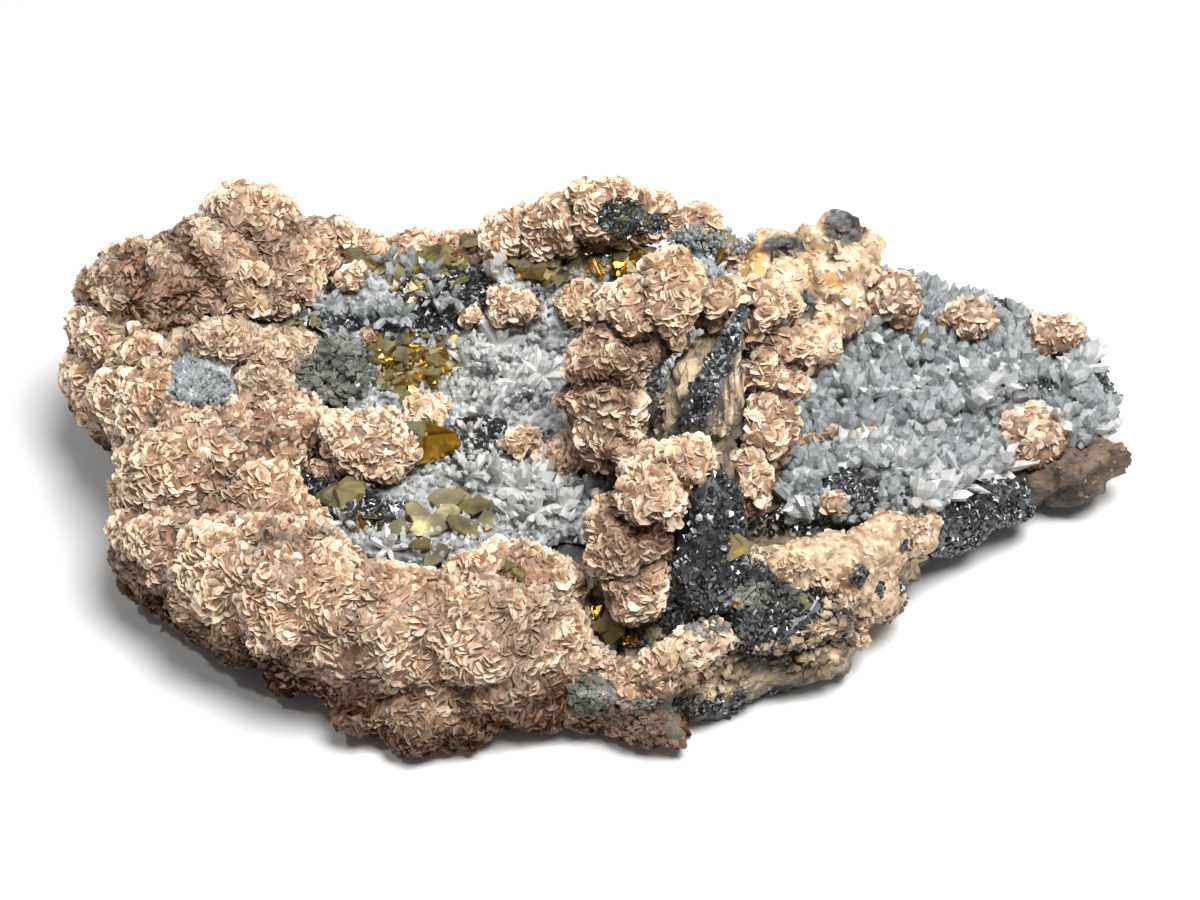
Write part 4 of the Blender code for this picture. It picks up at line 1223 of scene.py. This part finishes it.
# Large flat plates at the front of the hollow: place in the front view, height over the floor, half
# length and half width in mm, turn in degrees.
broadPlates = (
    (446, 508, 2.0, 3.2, 2.1, 10), (431, 531, 1.4, 4.4, 2.1, 14), (474, 514, 1.9, 3.2, 2.0, 24),
    (465, 532, 1.3, 3.6, 2.0, -12), (417, 518, 1.5, 2.4, 1.8, -30), (446, 520, 1.0, 3.0, 2.0, 40),
    (436, 562, 1.2, 2.9, 1.6, 52), (421, 549, 1.0, 2.0, 1.5, 0), (487, 525, 1.1, 2.2, 1.6, 80),
    (400, 533, 1.0, 2.0, 1.5, 10), (458, 502, 1.1, 2.6, 1.9, -35),
)


broadPlate = {
    "tiltRight": (-0.5, 0.5),
    "tiltBack": (-0.55, 0.15),
    "corners": 9,
    "cornerStray": 0.38,  # share of the way to the next corner
    "reach": (0.75, 1.15),  # share of the listed length and width
    "layers": ((-0.7, 0.8), (0.1, 1.0), (0.3, 0.94)),  # height in mm and width of each ring
    "rough": 0.03,  # mm
}


def growBroadPlates(material):
    rng = random.Random("broad plates")
    s, n = broadPlate, broadPlate["corners"]
    parts = []
    for x, y, lift, halfLength, halfWidth, turn in broadPlates:
        centre = placeInView(x, y)[0] + Vector((0, 0, lift))
        flat = Vector((rng.uniform(*s["tiltRight"]), rng.uniform(*s["tiltBack"]), 1)).normalized()
        turn = radians(turn)
        along = Vector((cos(turn), sin(turn), 0))
        along = (along - flat * along.dot(flat)).normalized()
        across = flat.cross(along)
        points = []
        outline = [(tau * (i + rng.uniform(-s["cornerStray"], s["cornerStray"])) / n,
                    rng.uniform(*s["reach"])) for i in range(n)]
        for layer, wide in s["layers"]:
            for angle, reach in outline:
                reach *= wide
                points.append(tuple(centre + along * halfLength * reach * cos(angle)
                                    + across * halfWidth * reach * sin(angle)
                                    + flat * (layer + rng.uniform(-s["rough"], s["rough"]))))
        tris = ringSides(n) + ringSides(n, n)
        tris += [(0, i + 1, i) for i in range(1, n - 1)]
        tris += [(2 * n, 2 * n + i, 2 * n + i + 1) for i in range(1, n - 1)]
        parts.append((np.array(points), np.array(tris), np.zeros(3 * n), material))
    addPiece("chalcopyrite_broad_plates", parts, ("chalcopyrite_front_plates",))


# The large crystal on the middle nodule: corners in the front view and their height in mm.
wedge = {
    "corners": (
        (389, 425, 26.0), (397, 421, 26.0), (424, 421, 26.0), (426, 434, 26.0), (456, 431, 23.2),
        (463, 446, 20.2), (447, 460, 18.6), (422, 463, 20.6), (412, 467, 19.8), (397, 446, 23.4),
        (404, 426, 19.5), (440, 426, 18.5), (434, 452, 17.6),
    ),
    "bevel": 0.3,  # mm, the blunt edges
}


def growWedge(material):
    points, tris, edges = hullOf([placeAtHeight(*corner) for corner in wedge["corners"]], wedge["bevel"])
    addPiece("chalcopyrite_wedge_crystal", [(points, tris, edges, material)],
             ("chalcopyrite_large_crystal",))


# The fin: a dark blade of sphalerite that leans across pale streaked rock.
fin = {
    "top": (748, 296), "foot": (688, 428),  # its crest in the front view
    "halfWidth": (9.0, 21.0),  # at the top and at the foot, in the same view
    "edge": 8.0,  # width of its edge, the same way
    "voxel": 0.8,
    "smoothRounds": 2,
    "drop": 1.8,  # mm that the rock beside it lies lower
    "rough": (1.5, 0.7),  # size and height, mm
}


def growFin(material):
    s = fin
    points, normals, faces = evenSkin("sphalerite_spine", s["voxel"], s["smoothRounds"])
    top, foot = np.array(s["top"], float), np.array(s["foot"], float)
    seen = seenAt(points) - top
    along = foot - top
    length = np.linalg.norm(along)
    share = np.clip(seen @ along / length ** 2, 0.0, 1.0)
    off = np.abs(seen @ np.array((along[1], -along[0])) / length)
    wide = s["halfWidth"][0] + share * (s["halfWidth"][1] - s["halfWidth"][0])
    inside = np.clip((wide - off) / s["edge"] + 0.5, 0.0, 1.0)
    size, height = s["rough"]
    points += normals * (ruggedness(points, size) * height + (inside - 1.0) * s["drop"])[:, None]
    addPiece("sphalerite_fin", [(points, faces, np.zeros(len(points)), material, inside)],
             ("sphalerite_spine",))


caps = {
    "voxel": 0.8,
    "smoothRounds": 2,
    "rough": (2.2, 0.6),  # size and height, mm
    "inset": 0.2,
}


# The two dark caps of the block at the back sit in its cream rock.
def growCaps(material):
    size, height = caps["rough"]
    for nodeName in ("sphalerite_cap_front", "sphalerite_cap_back"):
        points, normals, faces = evenSkin(nodeName, caps["voxel"], caps["smoothRounds"])
        points += normals * (ruggedness(points, size) * height - caps["inset"])[:, None]
        addPiece(f"{nodeName}_chunk", [(points, faces, inPatches(points, knotOrange), material,
                                        inPatches(points, knotDark))], (nodeName,))


# The host rock.
rock = {
    "voxel": 1.15,
    "smoothRounds": 2,
    "coarse": (6.0, 1.2),  # feature size and height, mm
    "fine": (2.0, 0.9),
    "inset": 0.25,
    "baseHeight": 0.7,  # below this the cut underside stays flat
    "hollow": (-10.0, 12.0, 45.0, 33.0),  # the hollow's centre and half axes in plan, mm
    "oreEdge": (1.15, 0.3),  # where the grey ore ends and over what length, in half axes squared
    "oreAbove": 9.0,
    "oreLeftOf": 2.0,
    "footOre": (6.0, 3.0, 0.85),  # height where it ends and length of its edge, mm; its strength
    "footRightOf": 5.0,
}


def growRock(material):
    s = rock
    points, normals, faces = evenSkin("matrix", s["voxel"], s["smoothRounds"])
    level = (points[:, 2] < s["baseHeight"]) & (normals[:, 2] < -0.5)
    height = (ruggedness(points, s["coarse"][0], 0.8) * s["coarse"][1]
              + ruggedness(points, s["fine"][0], 0.6, 2.2) * s["fine"][1] - s["inset"])
    height[level] = 0.0
    points += normals * height[:, None]
    points[level, 2] = 0.0
    # the floor of the hollow is grey ore, the outer sides are the streaked cream rock
    x, y, z = points.T
    midX, midY, halfX, halfY = s["hollow"]
    plan = ((x - midX) / halfX) ** 2 + ((y - midY) / halfY) ** 2
    end, edge = s["oreEdge"]
    grey = np.clip((end - plan) / edge, 0.0, 1.0) * (z > s["oreAbove"]) * (x < s["oreLeftOf"])
    # and so is the ore along the foot of the cliff
    end, edge, most = s["footOre"]
    grey = np.maximum(grey, np.clip((end - z) / edge, 0.0, most) * (x > s["footRightOf"]))
    addPiece("matrix_broken_rock", [(points, faces, np.zeros(len(points)), material, grey)],
             ("matrix",))


setStage()
trees, wholeTree, owners = growTrees()
growRock(rockMaterial("broken sulphide rock", "#3a3b3a", "#d8c2a0", "#8e7f68"))
greyDruse = druseMaterial("grey quartz window", "#5c5e5e", "#8f918f", "#b9bab6")
knotRock = knotMaterial()
growRhodochrosite(greyDruse, knotRock)
clearQuartz = quartzMaterial("clear grey quartz", 0.75, 0.25, "#e4e9eb", "#d0d4d4")
whiteQuartz = quartzMaterial("clear to milky quartz", 0.6, 0.15, "#ffffff", "#f4f3ee")
hearts = np.vstack((growFlowers("quartz_flowers", flowers, whiteQuartz),
                    growFlowers("quartz_grey_flowers", greyFlowers, clearQuartz)))
cloudyQuartz = quartzMaterial("clear to cloudy quartz", 0.65, 0.2, "#f4f6f5", "#e7e8e4")
for nodeName, pieceName, quartz in (("quartz_floor", "quartz_floor_points", cloudyQuartz),
                                    ("quartz_bed", "quartz_bed_points", clearQuartz),
                                    ("quartz_window", "quartz_window_points", clearQuartz)):
    growPoints(nodeName, pieceName, quartz, hearts)
blackSphalerite = sphaleriteMaterial()
growGrains("sphalerite_grains", sphaleritePatches,
           [f"sphalerite_{part}" for part in ("border", "flank", "ledge")],
           blackSphalerite)
growFin(finMaterial())
growCaps(knotRock)
brass = chalcopyriteMaterial("tarnished chalcopyrite", 0.45)
growLumps("grey_ore_lumps", lumps, rockMaterial("grey ore chips", "#45453f", "#a9a89e", "#77776e"))
growLumps("cream_rock_chips", creamChips, rockMaterial("cream rock chips", "#5f5342", "#dcc6a4", "#a08a6c"))
growLumps("brown_crust_chips", brownChips, rockMaterial("brown crust chips", "#4a3828", "#b0927a", "#7d6452"))
growPlates("chalcopyrite_plates", platePatches, brass)
growPlates("chalcopyrite_gold_plates", goldPatches,
           chalcopyriteMaterial("fresh chalcopyrite", 0.35, "Z", 0.2))
growGrains("pyrite_grains", pyritePatches, (), brass)
growBroadPlates(chalcopyriteMaterial("tarnished chalcopyrite plates", 0.28))
# The crystal's face that turns to the right, towards the softbox, is gold: fresh brass, brightened there as a
# painted highlight.
growWedge(chalcopyriteMaterial("chalcopyrite crystal, fresh on the right", 0.0, "X", 0.75))

carried = {
    "quartz_floor": druseMaterial("dark drusy crust", "#26282a", "#828586", "#c2c4c3"),
    "quartz": druseMaterial("drusy quartz crust", "#6e7172", "#9da2a2", "#c4c9c8"),
    "chalcopyrite": brass,
    "sphalerite": blackSphalerite,
}
for nodeName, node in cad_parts.items():
    material = carried.get(nodeName) or carried.get(nodeName.split("_")[0])
    if material:
        for materialSlot in node.material_slots:
            materialSlot.material = material

print("pieces dressed")
